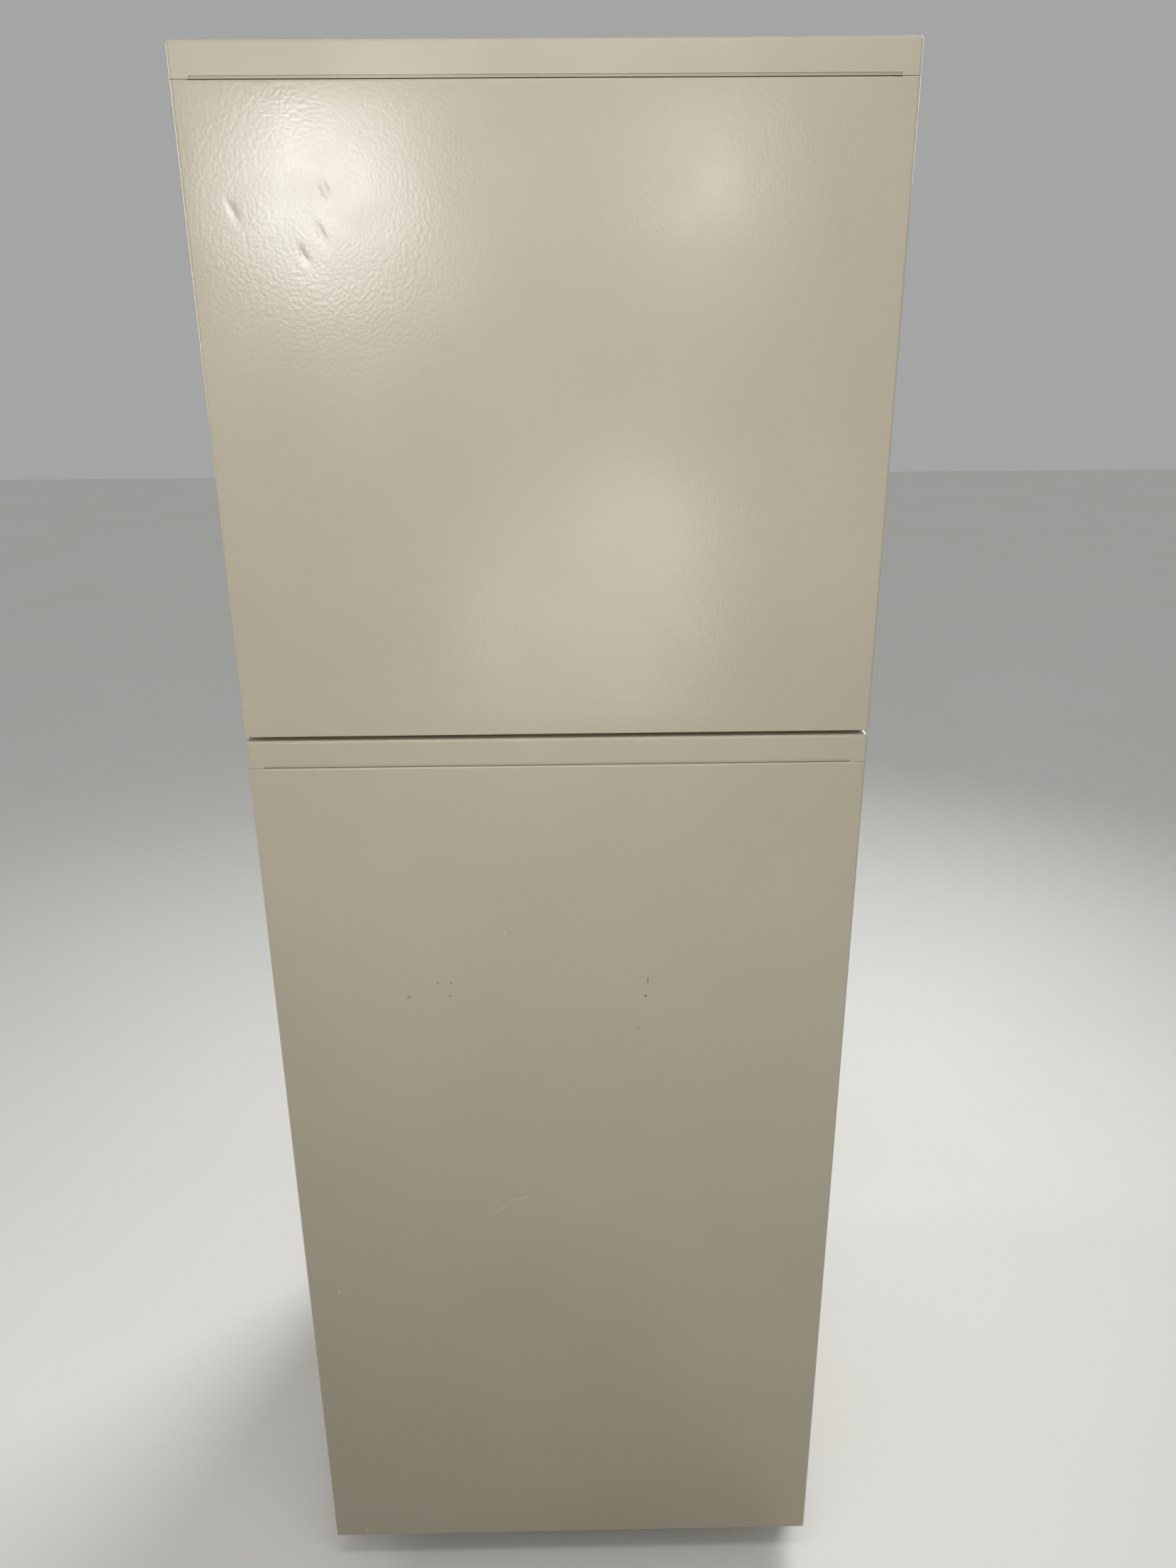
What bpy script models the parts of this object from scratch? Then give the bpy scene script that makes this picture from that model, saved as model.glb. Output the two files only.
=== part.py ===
"""Two-door fridge-freezer with the freezer on top, built as an assembly of separate pieces.

Metres, +Z up, the doors face -Y and hinge at the right, +X. The origin is on the floor, in the middle of the
footprint. Every piece is its own object. Pieces that move hang from an empty that stands on their joint's axis.
"""

from math import cos, pi, radians, sin

import bmesh
import bpy
from mathutils import Matrix, Vector

# --- Driving dimensions -------------------------------------------------------------------------------------
WIDTH = 0.600
DEPTH = 0.640
DOOR_BOTTOM = 0.045  # floor to the fridge door's lower edge
DOOR_STACK = 1.673  # lower edge of the fridge door to the top of the freezer door
FREEZER_SHARE = 0.586  # top of the doors to the middle of the seam between them
SEAM = 0.004
CAP_HEIGHT = 0.028  # the strip along each door's top edge
DOOR_THICK = 0.052
DOOR_TO_CABINET = 0.012  # what the gasket bridges
BACK_CLEARANCE = 0.035  # the condenser's space behind the back panel
EDGE_RADIUS = 0.003
GAP = 0.0003  # between pieces that touch
SHEET = 0.001  # steel sheet
LINER = 0.0015  # formed plastic sheet
SIDE_FOAM = 0.050  # outside of the cabinet to the outside of a liner

# --- Levels and planes that follow from them ----------------------------------------------------------------
SIDE = WIDTH / 2
FRONT = -DEPTH / 2
BACK = DEPTH / 2
DOOR_TOP = DOOR_BOTTOM + DOOR_STACK
SEAM_LEVEL = DOOR_TOP - FREEZER_SHARE
DOOR_REAR = FRONT + DOOR_THICK
CABINET_FRONT = DOOR_REAR + DOOR_TO_CABINET
CABINET_REAR = BACK - BACK_CLEARANCE
CABINET_TOP = DOOR_TOP - 0.0035
CABINET_FOOT = 0.022  # lower edge of the steel sides
BASE_LEVEL = 0.026  # underside of the base plate
BASE_THICK = 0.002
HINGE_X = SIDE - 0.012
HINGE_Y = FRONT + 0.030
PIN_RADIUS = 0.004
PIN_HOLE = 0.0046
LINER_X = SIDE - SIDE_FOAM  # outside of both liners
LINER_REAR = CABINET_REAR - 0.055
STEEL_LIP = 0.038  # width of the steel face at the cabinet's sides
STEEL_BROW = 0.0475  # and along its top
FOLD = 0.002  # outer radius of the bend between the cabinet's top and its sides
FREEZER_FLOOR, FREEZER_CEILING = 1.160, 1.655  # outside of the freezer liner
FRIDGE_FLOOR, FRIDGE_CEILING = 0.0985, 1.100  # outside of the fridge liner
BAY_FRONT, BAY_TOP = 0.110, 0.215  # the compressor's bay, at the bottom of the back
HUMP_FRONT, HUMP_TOP = BAY_FRONT - 0.042, BAY_TOP + 0.0435  # the fridge liner steps over the bay
RAIL = (1.108, 1.152)  # the steel strip between the two compartments
SHELF_FRONT = -0.150
SHELF_LEVELS = {"glass_shelf_upper": 0.800, "glass_shelf_middle": 0.560, "crisper_cover": 0.302}
FREEZER_SHELF_LEVEL = 1.395
COVER_FRONT = 0.150  # front of the panel before the evaporator
PAN_X = 0.215  # inside of the hollow in a door's liner
DYKE_X = 0.240  # outside of the raised frame round that hollow
DYKE_TOP = CABINET_FRONT + 0.020
PAN_FLOOR = DOOR_REAR - 0.022
BIN_FRONT = -0.187
FLAP_PIVOT = (-0.243, 1.029)

# --- Places and sizes of the smaller pieces -----------------------------------------------------------------
FOOT_X, FOOT_Y = 0.262, -0.222
ROLLER_Y, ROLLER_RADIUS, ROLLER_WIDTH = 0.235, 0.016, 0.018
AXLE_RADIUS = 0.003
CAN_X, CAN_Y, CAN_RADIUS = -0.030, 0.200, 0.070
CAN_FOOT, CAN_TOP = 0.037, 0.188
COIL_Y, COIL_RADIUS = BACK - 0.0055, 0.0025
COIL_X, COIL_LOW, COIL_HIGH, COIL_RUNS = 0.215, 0.300, 1.500, 17
GLAND_X, GLAND_Z = 0.220, 0.052
SWITCH_X, SWITCH_Z = 0.2275, 1.0755
FAN_LEVEL = 1.520
GRIP_DEEP = 0.026
GRIP_Y = (-0.306, -0.276)
EYE_RADIUS = 0.0095  # the rounded end of a hinge's plate
EYE_STEP = 0.0003  # that end is this much thinner than its plate, on each face
PLATE_RIGHT = 0.2970
HINGE_TAB = (0.255, 0.2980)
FAR = 0.4  # past everything that a cutter has to reach

PANEL_GREY = "B2A894"

MODEL, CUTTERS = "fridge_freezer", "cutters"


# --- Scene, materials and placing ---------------------------------------------------------------------------
def clear_scene():
    """Removes the startup objects, and makes the collections for the model and for its cutters."""
    for thing in list(bpy.data.objects):
        bpy.data.objects.remove(thing, do_unlink=True)
    for name in (MODEL, CUTTERS):
        bpy.context.scene.collection.children.link(bpy.data.collections.new(name))


def linear(hex_colour):
    """Linear RGBA of an sRGB hex colour."""
    channels = [int(hex_colour[i : i + 2], 16) / 255 for i in (0, 2, 4)]
    return [c / 12.92 if c <= 0.04045 else ((c + 0.055) / 1.055) ** 2.4 for c in channels] + [1.0]


def finish(name, hex_colour, roughness, metallic=0.0, alpha=1.0):
    """A Principled material, made once for each name."""
    found = bpy.data.materials.get(name)
    if found:
        return found
    made = bpy.data.materials.new(name)
    made.use_nodes = True
    shader = made.node_tree.nodes["Principled BSDF"]
    shader.inputs["Base Color"].default_value = linear(hex_colour)
    shader.inputs["Roughness"].default_value = roughness
    shader.inputs["Metallic"].default_value = metallic
    shader.inputs["Alpha"].default_value = alpha
    return made


FINISHES = {
    "door_paint": (PANEL_GREY, 0.35),
    "cap_plastic": (PANEL_GREY, 0.4),
    "cabinet_paint": ("A89E8A", 0.45),
    "zinc_steel": ("9A9C9E", 0.4, 0.9),
    "foam": ("D8C48E", 0.9),
    "liner_white": ("E9EAE6", 0.35),
    "gasket": ("B9B4A6", 0.8),
    "grip_plastic": ("8E8676", 0.5),
    "bin_clear": ("D5E2E4", 0.12, 0.0, 0.45),
    "shelf_glass": ("CFE0DA", 0.05, 0.0, 0.35),
    "black_steel": ("1B1B1C", 0.45),
    "copper": ("B0714A", 0.35, 1.0),
    "black_plastic": ("232325", 0.55),
    "aluminium": ("B8BBBD", 0.4, 0.9),
    "lamp_plastic": ("F2EEDC", 0.3, 0.0, 0.8),
}


def add_object(name, data, material=None):
    """Links a new object to the model, or, without a material, to the cutters."""
    made = bpy.data.objects.new(name, data)
    if material:
        data.materials.append(finish(material, *FINISHES[material]))
        bpy.data.collections[MODEL].objects.link(made)
    else:
        made.hide_render = True
        made.display_type = "WIRE"
        bpy.data.collections[CUTTERS].objects.link(made)
    return made


def axis_empty(name, point):
    """An empty on a joint's axis, for the pieces that move with it."""
    made = bpy.data.objects.new(name, None)
    made.location = point
    made.empty_display_size = 0.03
    bpy.data.collections[MODEL].objects.link(made)
    return made


def hang(empty, *pieces):
    """Parents pieces to an unturned empty, and leaves them where they are."""
    for piece in pieces:
        piece.location = Vector(piece.location) - Vector(empty.location)
        piece.parent = empty


# --- Shapes -------------------------------------------------------------------------------------------------
def block(name, x, y, z, material=None, radius=0.0, segments=2, rounds=None):
    """A box between two limits on each axis. A radius rounds its edges, or only those that rounds picks."""
    low, high = Vector((x[0], y[0], z[0])), Vector((x[1], y[1], z[1]))
    mesh = bpy.data.meshes.new(name)
    shape = bmesh.new()
    bmesh.ops.create_cube(shape, size=1.0)
    bmesh.ops.scale(shape, vec=high - low, verts=shape.verts)
    if radius:
        edges = [e for e in shape.edges if rounds is None or rounds(e)]
        bmesh.ops.bevel(shape, geom=edges, offset=radius, segments=segments, profile=0.5, affect="EDGES")
    shape.to_mesh(mesh)
    shape.free()
    made = add_object(name, mesh, material)
    made.location = (low + high) / 2
    return made


def is_upright(edge):
    """True for an edge that runs along Z."""
    along = edge.verts[1].co - edge.verts[0].co
    return abs(along.z) > 0.9 * along.length


def is_top_fold(edge):
    """True for an edge along Y at the top of a block that isn't placed yet."""
    along = edge.verts[1].co - edge.verts[0].co
    return abs(along.y) > 0.9 * along.length and edge.verts[0].co.z > 0


def rod(name, radius, start, end, material=None, sides=24):
    """A cylinder between two points on a line along X, Y or Z."""
    start, end = Vector(start), Vector(end)
    mesh = bpy.data.meshes.new(name)
    shape = bmesh.new()
    bmesh.ops.create_cone(
        shape, cap_ends=True, segments=sides, radius1=radius, radius2=radius, depth=(end - start).length
    )
    shape.to_mesh(mesh)
    shape.free()
    made = add_object(name, mesh, material)
    made.location = (start + end) / 2
    made.rotation_euler = (end - start).to_track_quat("Z", "Y").to_euler()
    return made


def upright_rod(name, radius, low, high):
    """A cylinder on the doors' axis, between two levels."""
    return rod(name, radius, (HINGE_X, HINGE_Y, low), (HINGE_X, HINGE_Y, high))


def turned(name, profile, location, material, rotation=(0, 0, 0), sides=24, closed=False):
    """A profile of (radius, height) points, outer side running down, turned about its own Z axis."""
    mesh = bpy.data.meshes.new(name)
    points = [(radius, 0.0, height) for radius, height in profile]
    edges = [(i, i + 1) for i in range(len(points) - 1)]
    if closed:
        edges.append((len(points) - 1, 0))
    mesh.from_pydata(points, edges, [])
    made = add_object(name, mesh, material)
    made.location = location
    made.rotation_euler = rotation
    spin = made.modifiers.new("Turn", "SCREW")
    spin.steps = spin.render_steps = sides
    spin.use_merge_vertices = True
    spin.merge_threshold = 0.00005
    spin.use_smooth_shade = True
    return made


def tube(name, points, radius, material):
    """A pipe along a polyline, with its ends closed."""
    curve = bpy.data.curves.new(name, "CURVE")
    curve.dimensions = "3D"
    curve.bevel_depth = radius
    curve.bevel_resolution = 2
    curve.use_fill_caps = True
    line = curve.splines.new("POLY")
    line.points.add(len(points) - 1)
    for place, point in zip(line.points, points):
        place.co = (*point, 1.0)
    return add_object(name, curve, material)


def rounded_route(corners, radius, steps=4):
    """The corners of a pipe's route with each inner one replaced by a bend."""
    corners = [Vector(c) for c in corners]
    route = [corners[0]]
    for before, corner, after in zip(corners, corners[1:], corners[2:]):
        enter = corner + (before - corner).normalized() * radius
        leave = corner + (after - corner).normalized() * radius
        for i in range(steps + 1):
            t = i / steps
            route.append(enter * (1 - t) ** 2 + corner * 2 * t * (1 - t) + leave * t**2)
    return [tuple(p) for p in (*route, corners[-1])]


def boolean(target, operation, others):
    """Adds an exact Boolean with each of the others, in order."""
    for other in others:
        step = target.modifiers.new(other.name, "BOOLEAN")
        step.operation = operation
        step.object = other
    return target


def cut(target, *cutters):
    """Takes each of the cutters out of the target."""
    return boolean(target, "DIFFERENCE", cutters)


def fuse(target, *shapes):
    """Joins each of the shapes to the target."""
    return boolean(target, "UNION", shapes)


def repeat(shape, count, offset):
    """Makes a cutter into a row of the same shape."""
    row = shape.modifiers.new("Row", "ARRAY")
    row.count = count
    row.use_relative_offset = False
    row.use_constant_offset = True
    row.constant_offset_displace = offset
    return shape


def open_box(name, x, y, z, wall, side, material, radius=0.0):
    """A thin-walled box without its wall on one side: '-x', '+x', '-y', '+y', '-z' or '+z'."""
    limits = {"x": list(x), "y": list(y), "z": list(z)}
    inner = {axis: [low + wall, high - wall] for axis, (low, high) in limits.items()}
    inner[side[1]][side[0] == "+"] = limits[side[1]][side[0] == "+"] + (0.02 if side[0] == "+" else -0.02)
    made = block(name, x, y, z, material, radius)
    return cut(made, block(f"{name}_hollow", inner["x"], inner["y"], inner["z"]))


# --- Cabinet ------------------------------------------------------------------------------------------------
def make_cabinet_shell():
    """Steel wrapper, back panel, foam body, the two liners and the rail between them."""
    far = 0.05  # how far a cutter runs past what it cuts
    wrapper = block(
        "cabinet_wrapper",
        (-SIDE, SIDE),
        (CABINET_FRONT, CABINET_REAR),
        (CABINET_FOOT, CABINET_TOP),
        "cabinet_paint",
        FOLD,
        3,
        rounds=is_top_fold,
    )
    cut(
        wrapper,
        block(
            "wrapper_inside",
            (-SIDE + SHEET, SIDE - SHEET),
            (CABINET_FRONT + SHEET, CABINET_REAR + far),
            (CABINET_FOOT - far, CABINET_TOP - SHEET),
        ),
        block(
            "wrapper_mouth",
            (-SIDE + STEEL_LIP, SIDE - STEEL_LIP),
            (CABINET_FRONT - far, CABINET_FRONT + far),
            (CABINET_FOOT - far, CABINET_TOP - STEEL_BROW),
        ),
    )

    inside = SIDE - SHEET - GAP
    foam_rear = CABINET_REAR - SHEET - GAP
    block(
        "back_panel",
        (-inside, inside),
        (CABINET_REAR - SHEET, CABINET_REAR),
        (BAY_TOP + 0.0005, CABINET_TOP - SHEET - GAP),
        "zinc_steel",
    )
    foam = block(
        "insulation_foam",
        (-inside, inside),
        (CABINET_FRONT + LINER + GAP, foam_rear),
        (BASE_LEVEL + BASE_THICK + 0.0005, CABINET_TOP - SHEET - GAP),
        "foam",
    )
    room = LINER_X + GAP
    cut(
        foam,
        block("foam_bay", (-SIDE, SIDE), (BAY_FRONT, BACK), (0.0, BAY_TOP)),
        block(
            "foam_freezer",
            (-room, room),
            (CABINET_FRONT - far, LINER_REAR + GAP),
            (FREEZER_FLOOR - GAP, FREEZER_CEILING + GAP),
        ),
        block(
            "foam_fridge_upper",
            (-room, room),
            (CABINET_FRONT - far, LINER_REAR + GAP),
            (HUMP_TOP - GAP, FRIDGE_CEILING + GAP),
        ),
        block(
            "foam_fridge_lower",
            (-room, room),
            (CABINET_FRONT - far, HUMP_FRONT + GAP),
            (FRIDGE_FLOOR - GAP, HUMP_TOP + far),
        ),
    )
    for side in (-1, 1):
        foot_x = side * FOOT_X
        cut(foam, rod(f"foam_foot_{side}", 0.009, (foot_x, FOOT_Y, 0.0), (foot_x, FOOT_Y, 0.046)))

    block(
        "mullion_rail",
        (-SIDE + STEEL_LIP + GAP, SIDE - STEEL_LIP - GAP),
        (CABINET_FRONT, CABINET_FRONT + SHEET),
        RAIL,
        "cabinet_paint",
    )
    make_freezer_liner(far)
    make_fridge_liner(far)


def liner_flange(name, z):
    """The face of a liner round its mouth."""
    reach = SIDE - STEEL_LIP - GAP
    return block(name, (-reach, reach), (CABINET_FRONT, CABINET_FRONT + LINER), z)


def ledges(name, level, front, rear):
    """A pair of ribs on a liner's side walls that carry a shelf."""
    wall = LINER_X - LINER
    return [
        block(
            f"{name}_ledge_{side}",
            sorted((side * (wall + LINER / 2), side * (wall - 0.008))),
            (front, rear),
            (level - 0.0063, level - GAP),
        )
        for side in (-1, 1)
    ]


def make_freezer_liner(far):
    """The freezer's formed inner skin, with its ledges for the shelf."""
    liner = block(
        "freezer_liner",
        (-LINER_X, LINER_X),
        (CABINET_FRONT + LINER / 2, LINER_REAR),
        (FREEZER_FLOOR, FREEZER_CEILING),
        "liner_white",
    )
    fuse(liner, liner_flange("freezer_flange", (RAIL[1] + GAP, CABINET_TOP - STEEL_BROW - GAP)))
    wall = LINER_X - LINER
    cut(
        liner,
        block(
            "freezer_hollow",
            (-wall, wall),
            (CABINET_FRONT - far, LINER_REAR - LINER),
            (FREEZER_FLOOR + LINER, FREEZER_CEILING - LINER),
        ),
    )
    fuse(liner, *ledges("freezer_shelf", FREEZER_SHELF_LEVEL, SHELF_FRONT - 0.003, COVER_FRONT - 0.002))


def make_fridge_liner(far):
    """The fridge's formed inner skin, stepped over the compressor's bay, with ledges for each shelf."""
    liner = block(
        "fridge_liner",
        (-LINER_X, LINER_X),
        (CABINET_FRONT + LINER / 2, LINER_REAR),
        (FRIDGE_FLOOR, FRIDGE_CEILING),
        "liner_white",
    )
    cut(liner, block("liner_hump", (-SIDE, SIDE), (HUMP_FRONT, BACK), (0.0, HUMP_TOP)))
    fuse(liner, liner_flange("fridge_flange", (FRIDGE_FLOOR - 0.010, RAIL[0] - GAP)))
    wall = LINER_X - LINER
    cut(
        liner,
        block(
            "fridge_hollow_upper",
            (-wall, wall),
            (CABINET_FRONT - far, LINER_REAR - LINER),
            (HUMP_TOP + LINER, FRIDGE_CEILING - LINER),
        ),
        block(
            "fridge_hollow_lower",
            (-wall, wall),
            (CABINET_FRONT - far, HUMP_FRONT - LINER),
            (FRIDGE_FLOOR + LINER, HUMP_TOP + far),
        ),
    )
    for name, level in SHELF_LEVELS.items():
        fuse(liner, *ledges(name, level, SHELF_FRONT - 0.003, LINER_REAR - LINER / 2))


# --- Base, feet and rollers ---------------------------------------------------------------------------------
def make_base():
    """Base plate with its front wall, the roller brackets and axles, and the tab that holds the cord gland."""
    lip = SIDE - STEEL_LIP - GAP - 0.0002
    top = BASE_LEVEL + BASE_THICK
    base = block(
        "base_frame",
        (-SIDE + SHEET + 0.0005, SIDE - SHEET - 0.0005),
        (CABINET_FRONT + 0.0015, CABINET_REAR - 0.002),
        (BASE_LEVEL, top),
        "zinc_steel",
    )
    window = 0.235  # half the opening under the foam, which saves steel
    cut(base, block("base_window", (-window, window), (-0.170, BAY_FRONT - 0.010), (0.0, 0.06)))
    fuse(
        base,
        block("base_lip", (-lip, lip), (CABINET_FRONT + SHEET / 2, CABINET_FRONT + 0.006), (BASE_LEVEL, top)),
        block(
            "base_front",
            (-lip, lip),
            (CABINET_FRONT, CABINET_FRONT + SHEET),
            (BASE_LEVEL, FRIDGE_FLOOR - 0.010 - GAP),
        ),
        block(
            "gland_tab",
            (GLAND_X - 0.020, GLAND_X + 0.020),
            (CABINET_REAR - 0.005, CABINET_REAR - 0.003),
            (BASE_LEVEL + 0.001, GLAND_Z + 0.014),
        ),
    )
    cut(base, rod("gland_hole", 0.0075, (GLAND_X, BACK - 0.07, GLAND_Z), (GLAND_X, BACK, GLAND_Z)))
    for side in (-1, 1):
        x = side * FOOT_X
        cut(
            base,
            rod(f"foot_hole_{side}", 0.0066, (x, FOOT_Y, 0.0), (x, FOOT_Y, 0.06)),
            block(
                f"roller_slot_{side}",
                (x - 0.012, x + 0.012),
                (ROLLER_Y - ROLLER_RADIUS - 0.003, ROLLER_Y + ROLLER_RADIUS + 0.003),
                (0.0, 0.06),
            ),
        )
        for ear in (-1, 1):
            middle = x + ear * 0.0145
            fuse(
                base,
                block(
                    f"ear_{side}_{ear}",
                    (middle - 0.0015, middle + 0.0015),
                    (ROLLER_Y - 0.007, ROLLER_Y + 0.007),
                    (ROLLER_RADIUS - 0.007, top - 0.0005),
                ),
            )
        fuse(
            base,
            rod(
                f"axle_{side}",
                AXLE_RADIUS,
                (x - 0.0145, ROLLER_Y, ROLLER_RADIUS),
                (x + 0.0145, ROLLER_Y, ROLLER_RADIUS),
                sides=16,
            ),
        )


def make_kick_plate():
    """The slotted strip under the fridge door, which ends before the hinge."""
    plate = block(
        "kick_plate",
        (-0.297, 0.250),
        (CABINET_FRONT - 0.0065, CABINET_FRONT - 0.0005),
        (0.008, DOOR_BOTTOM - 0.0025),
        "grip_plastic",
        radius=0.0015,
        segments=1,
    )
    slot = block("kick_slot", (-0.215, -0.185), (-0.30, -0.20), (0.022, 0.028))
    cut(plate, repeat(slot, 10, (0.038, 0.0, 0.0)))


def make_feet_and_rollers():
    """Two levelling feet at the front, which turn about Z, and two rollers at the rear, which turn about X."""
    foot = [(0, 0.042), (0.005, 0.042), (0.005, 0.013), (0.013, 0.011), (0.019, 0.007), (0.019, 0.0), (0, 0.0)]
    half, bore = ROLLER_WIDTH / 2, AXLE_RADIUS + 0.0005
    wheel = [
        (bore, half),
        (ROLLER_RADIUS - 0.001, half),
        (ROLLER_RADIUS, half - 0.001),
        (ROLLER_RADIUS, -half + 0.001),
        (ROLLER_RADIUS - 0.001, -half),
        (bore, -half),
    ]
    for side, label in ((-1, "left"), (1, "right")):
        turn = axis_empty(f"foot_{label}_axis", (side * FOOT_X, FOOT_Y, 0.0))
        hang(turn, turned(f"levelling_foot_{label}", foot, turn.location, "black_plastic"))
        spin = axis_empty(f"roller_{label}_axis", (side * FOOT_X, ROLLER_Y, ROLLER_RADIUS))
        roller = turned(
            f"rear_roller_{label}", wheel, spin.location, "black_plastic", rotation=(0, pi / 2, 0), closed=True
        )
        hang(spin, roller)


# --- Cooling circuit ----------------------------------------------------------------------------------------
def make_compressor():
    """The motor compressor's steel can on its foot plate, with its relay box."""
    rise = 0.034  # height of each dome
    dome = [(CAN_RADIUS * cos(a), rise * sin(a)) for a in (radians(90 - 15 * i) for i in range(7))]
    seam = (CAN_FOOT + CAN_TOP) / 2
    profile = [(r, CAN_TOP - rise + h) for r, h in dome]
    profile += [(CAN_RADIUS, seam + 0.003), (CAN_RADIUS + 0.004, seam + 0.002)]
    profile += [(CAN_RADIUS + 0.004, seam - 0.002), (CAN_RADIUS, seam - 0.003)]
    profile += [(r, CAN_FOOT + rise - h) for r, h in reversed(dome)]
    profile[0] = (0.0, profile[0][1])
    profile[-1] = (0.0, profile[-1][1])
    can = turned("compressor", profile, (CAN_X, CAN_Y, 0.0), "black_steel")
    plate_z = (0.0335, CAN_FOOT + 0.0025)
    fuse(can, block("can_plate", (CAN_X - 0.085, CAN_X + 0.085), (CAN_Y - 0.055, CAN_Y + 0.055), plate_z))
    for x in (-0.072, 0.072):
        for y in (-0.043, 0.043):
            place = (CAN_X + x, CAN_Y + y)
            level = BASE_LEVEL + BASE_THICK + GAP
            fuse(can, rod(f"can_foot_{x}_{y}", 0.009, (*place, level), (*place, 0.0345), sides=16))
    block(
        "relay_box",
        (CAN_X + CAN_RADIUS + 0.0045, CAN_X + CAN_RADIUS + 0.034),
        (CAN_Y - 0.024, CAN_Y + 0.024),
        (0.085, 0.135),
        "black_plastic",
        radius=0.003,
        segments=1,
    )


def make_pipes():
    """The short suction pipe, the discharge pipe, the drier and the condenser on its two brackets."""
    left = CAN_X - CAN_RADIUS - 0.0005
    suction = [(left, 0.186, 0.150), (-0.150, 0.186, 0.150), (-0.150, 0.186, BAY_TOP - GAP)]
    tube("suction_pipe", rounded_route(suction, 0.020), 0.004, "copper")
    joint = COIL_LOW - 0.050
    discharge = [
        (left, 0.214, 0.095),
        (-0.170, 0.214, 0.095),
        (-0.215, 0.262, 0.120),
        (-COIL_X, COIL_Y, 0.170),
        (-COIL_X, COIL_Y, joint - GAP),
    ]
    tube("discharge_pipe", rounded_route(discharge, 0.018), COIL_RADIUS, "copper")

    bend = (COIL_HIGH - COIL_LOW) / (COIL_RUNS - 1) / 2
    route = [(-COIL_X, COIL_Y, joint), (-COIL_X, COIL_Y, COIL_LOW - 0.012), (-COIL_X + 0.012, COIL_Y, COIL_LOW)]
    for run in range(COIL_RUNS - 1):
        side = 1 if run % 2 == 0 else -1
        centre = COIL_LOW + (2 * run + 1) * bend
        for i in range(6):
            a = -pi / 2 + pi * i / 5
            x = side * (COIL_X - bend + bend * cos(a))
            route.append((x, COIL_Y, centre + bend * sin(a)))
    route.append((COIL_X - 0.05, COIL_Y, COIL_HIGH))
    tube("condenser_coil", route, COIL_RADIUS, "black_steel")

    for side, label in ((-1, "left"), (1, "right")):
        strip = block(
            f"condenser_bracket_{label}",
            sorted((side * 0.150, side * 0.166)),
            (CABINET_REAR + GAP, COIL_Y - COIL_RADIUS - GAP),
            (COIL_LOW - 0.020, COIL_HIGH + 0.080),
            "black_steel",
        )
        spacer = block(
            f"wall_spacer_{label}",
            sorted((side * 0.140, side * 0.176)),
            (CABINET_REAR + GAP, BACK),
            (COIL_HIGH + 0.030, COIL_HIGH + 0.075),
        )
        fuse(strip, spacer)

    drier = [(0, 0.055), (0.003, 0.055), (0.003, 0.045), (0.009, 0.036), (0.009, -0.036), (0.003, -0.045)]
    drier += [(0.003, -0.055), (0, -0.055)]
    turned("filter_drier", drier, (0.150, 0.262, 0.0853), "copper", sides=16)
    open_box("drip_tray", (-0.125, 0.065), (0.128, 0.272), (0.1885, 0.2055), 0.0015, "+z", "black_plastic")
    gland = [(0.0048, 0.007), (0.0105, 0.007), (0.0115, 0.005), (0.0115, 0.0), (0.0048, 0.0)]
    turned(
        "cord_gland",
        gland,
        (GLAND_X, CABINET_REAR - 0.003 + GAP, GLAND_Z),
        "black_plastic",
        rotation=(-pi / 2, 0, 0),
        closed=True,
    )


def make_freezer_cooling():
    """Evaporator and fan behind their slotted panel, at the back of the freezer."""
    wall = LINER_X - LINER - 0.0005
    panel = block(
        "evaporator_cover",
        (-wall, wall),
        (COVER_FRONT, COVER_FRONT + 0.003),
        (FREEZER_FLOOR + LINER + GAP, FREEZER_CEILING - LINER - GAP),
        "liner_white",
    )
    fan_slot = block("fan_slot", (-0.045, 0.045), (0.10, 0.20), (FAN_LEVEL - 0.043, FAN_LEVEL - 0.035))
    air_slot = block("air_slot", (-0.200, -0.186), (0.10, 0.20), (FREEZER_FLOOR + 0.012, FREEZER_FLOOR + 0.032))
    cut(panel, repeat(fan_slot, 7, (0, 0, 0.013)), repeat(air_slot, 14, (0.0297, 0, 0)))
    block("evaporator", (-0.210, 0.210), (0.160, 0.222), (FREEZER_FLOOR + 0.006, 1.400), "aluminium")

    motor = [(0, 0.063), (0.0025, 0.063), (0.0025, 0.030), (0.020, 0.030), (0.024, 0.026), (0.024, 0), (0, 0)]
    turned("fan_motor", motor, (0, 0.226, FAN_LEVEL), "black_plastic", rotation=(pi / 2, 0, 0), sides=16)
    spin = axis_empty("fan_axis", (0, 0.170, FAN_LEVEL))
    hub = [(0, 0.012), (0.012, 0.012), (0.014, 0.010), (0.014, -0.012), (0.0032, -0.012), (0.0032, 0.009)]
    hub.append((0, 0.009))
    fan = turned("evaporator_fan", hub, spin.location, "black_plastic", rotation=(pi / 2, 0, 0), sides=16)
    for i in range(5):
        turn = 2 * pi * i / 5
        blade = block(f"blade_{i}", (-0.012, 0.012), (-0.001, 0.001), (0.010, 0.044))
        blade.matrix_world = place_blade(turn, spin.location)
        fuse(fan, blade)
    hang(spin, fan)


def place_blade(turn, centre):
    """Matrix of one fan blade: pitched by 35 degrees about its own length, and turned about the fan's axis."""
    outward = Matrix.Translation((0, 0, 0.027))
    pitch = Matrix.Rotation(radians(35), 4, "Z")
    return Matrix.Translation(centre) @ Matrix.Rotation(turn, 4, "Y") @ outward @ pitch


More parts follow.
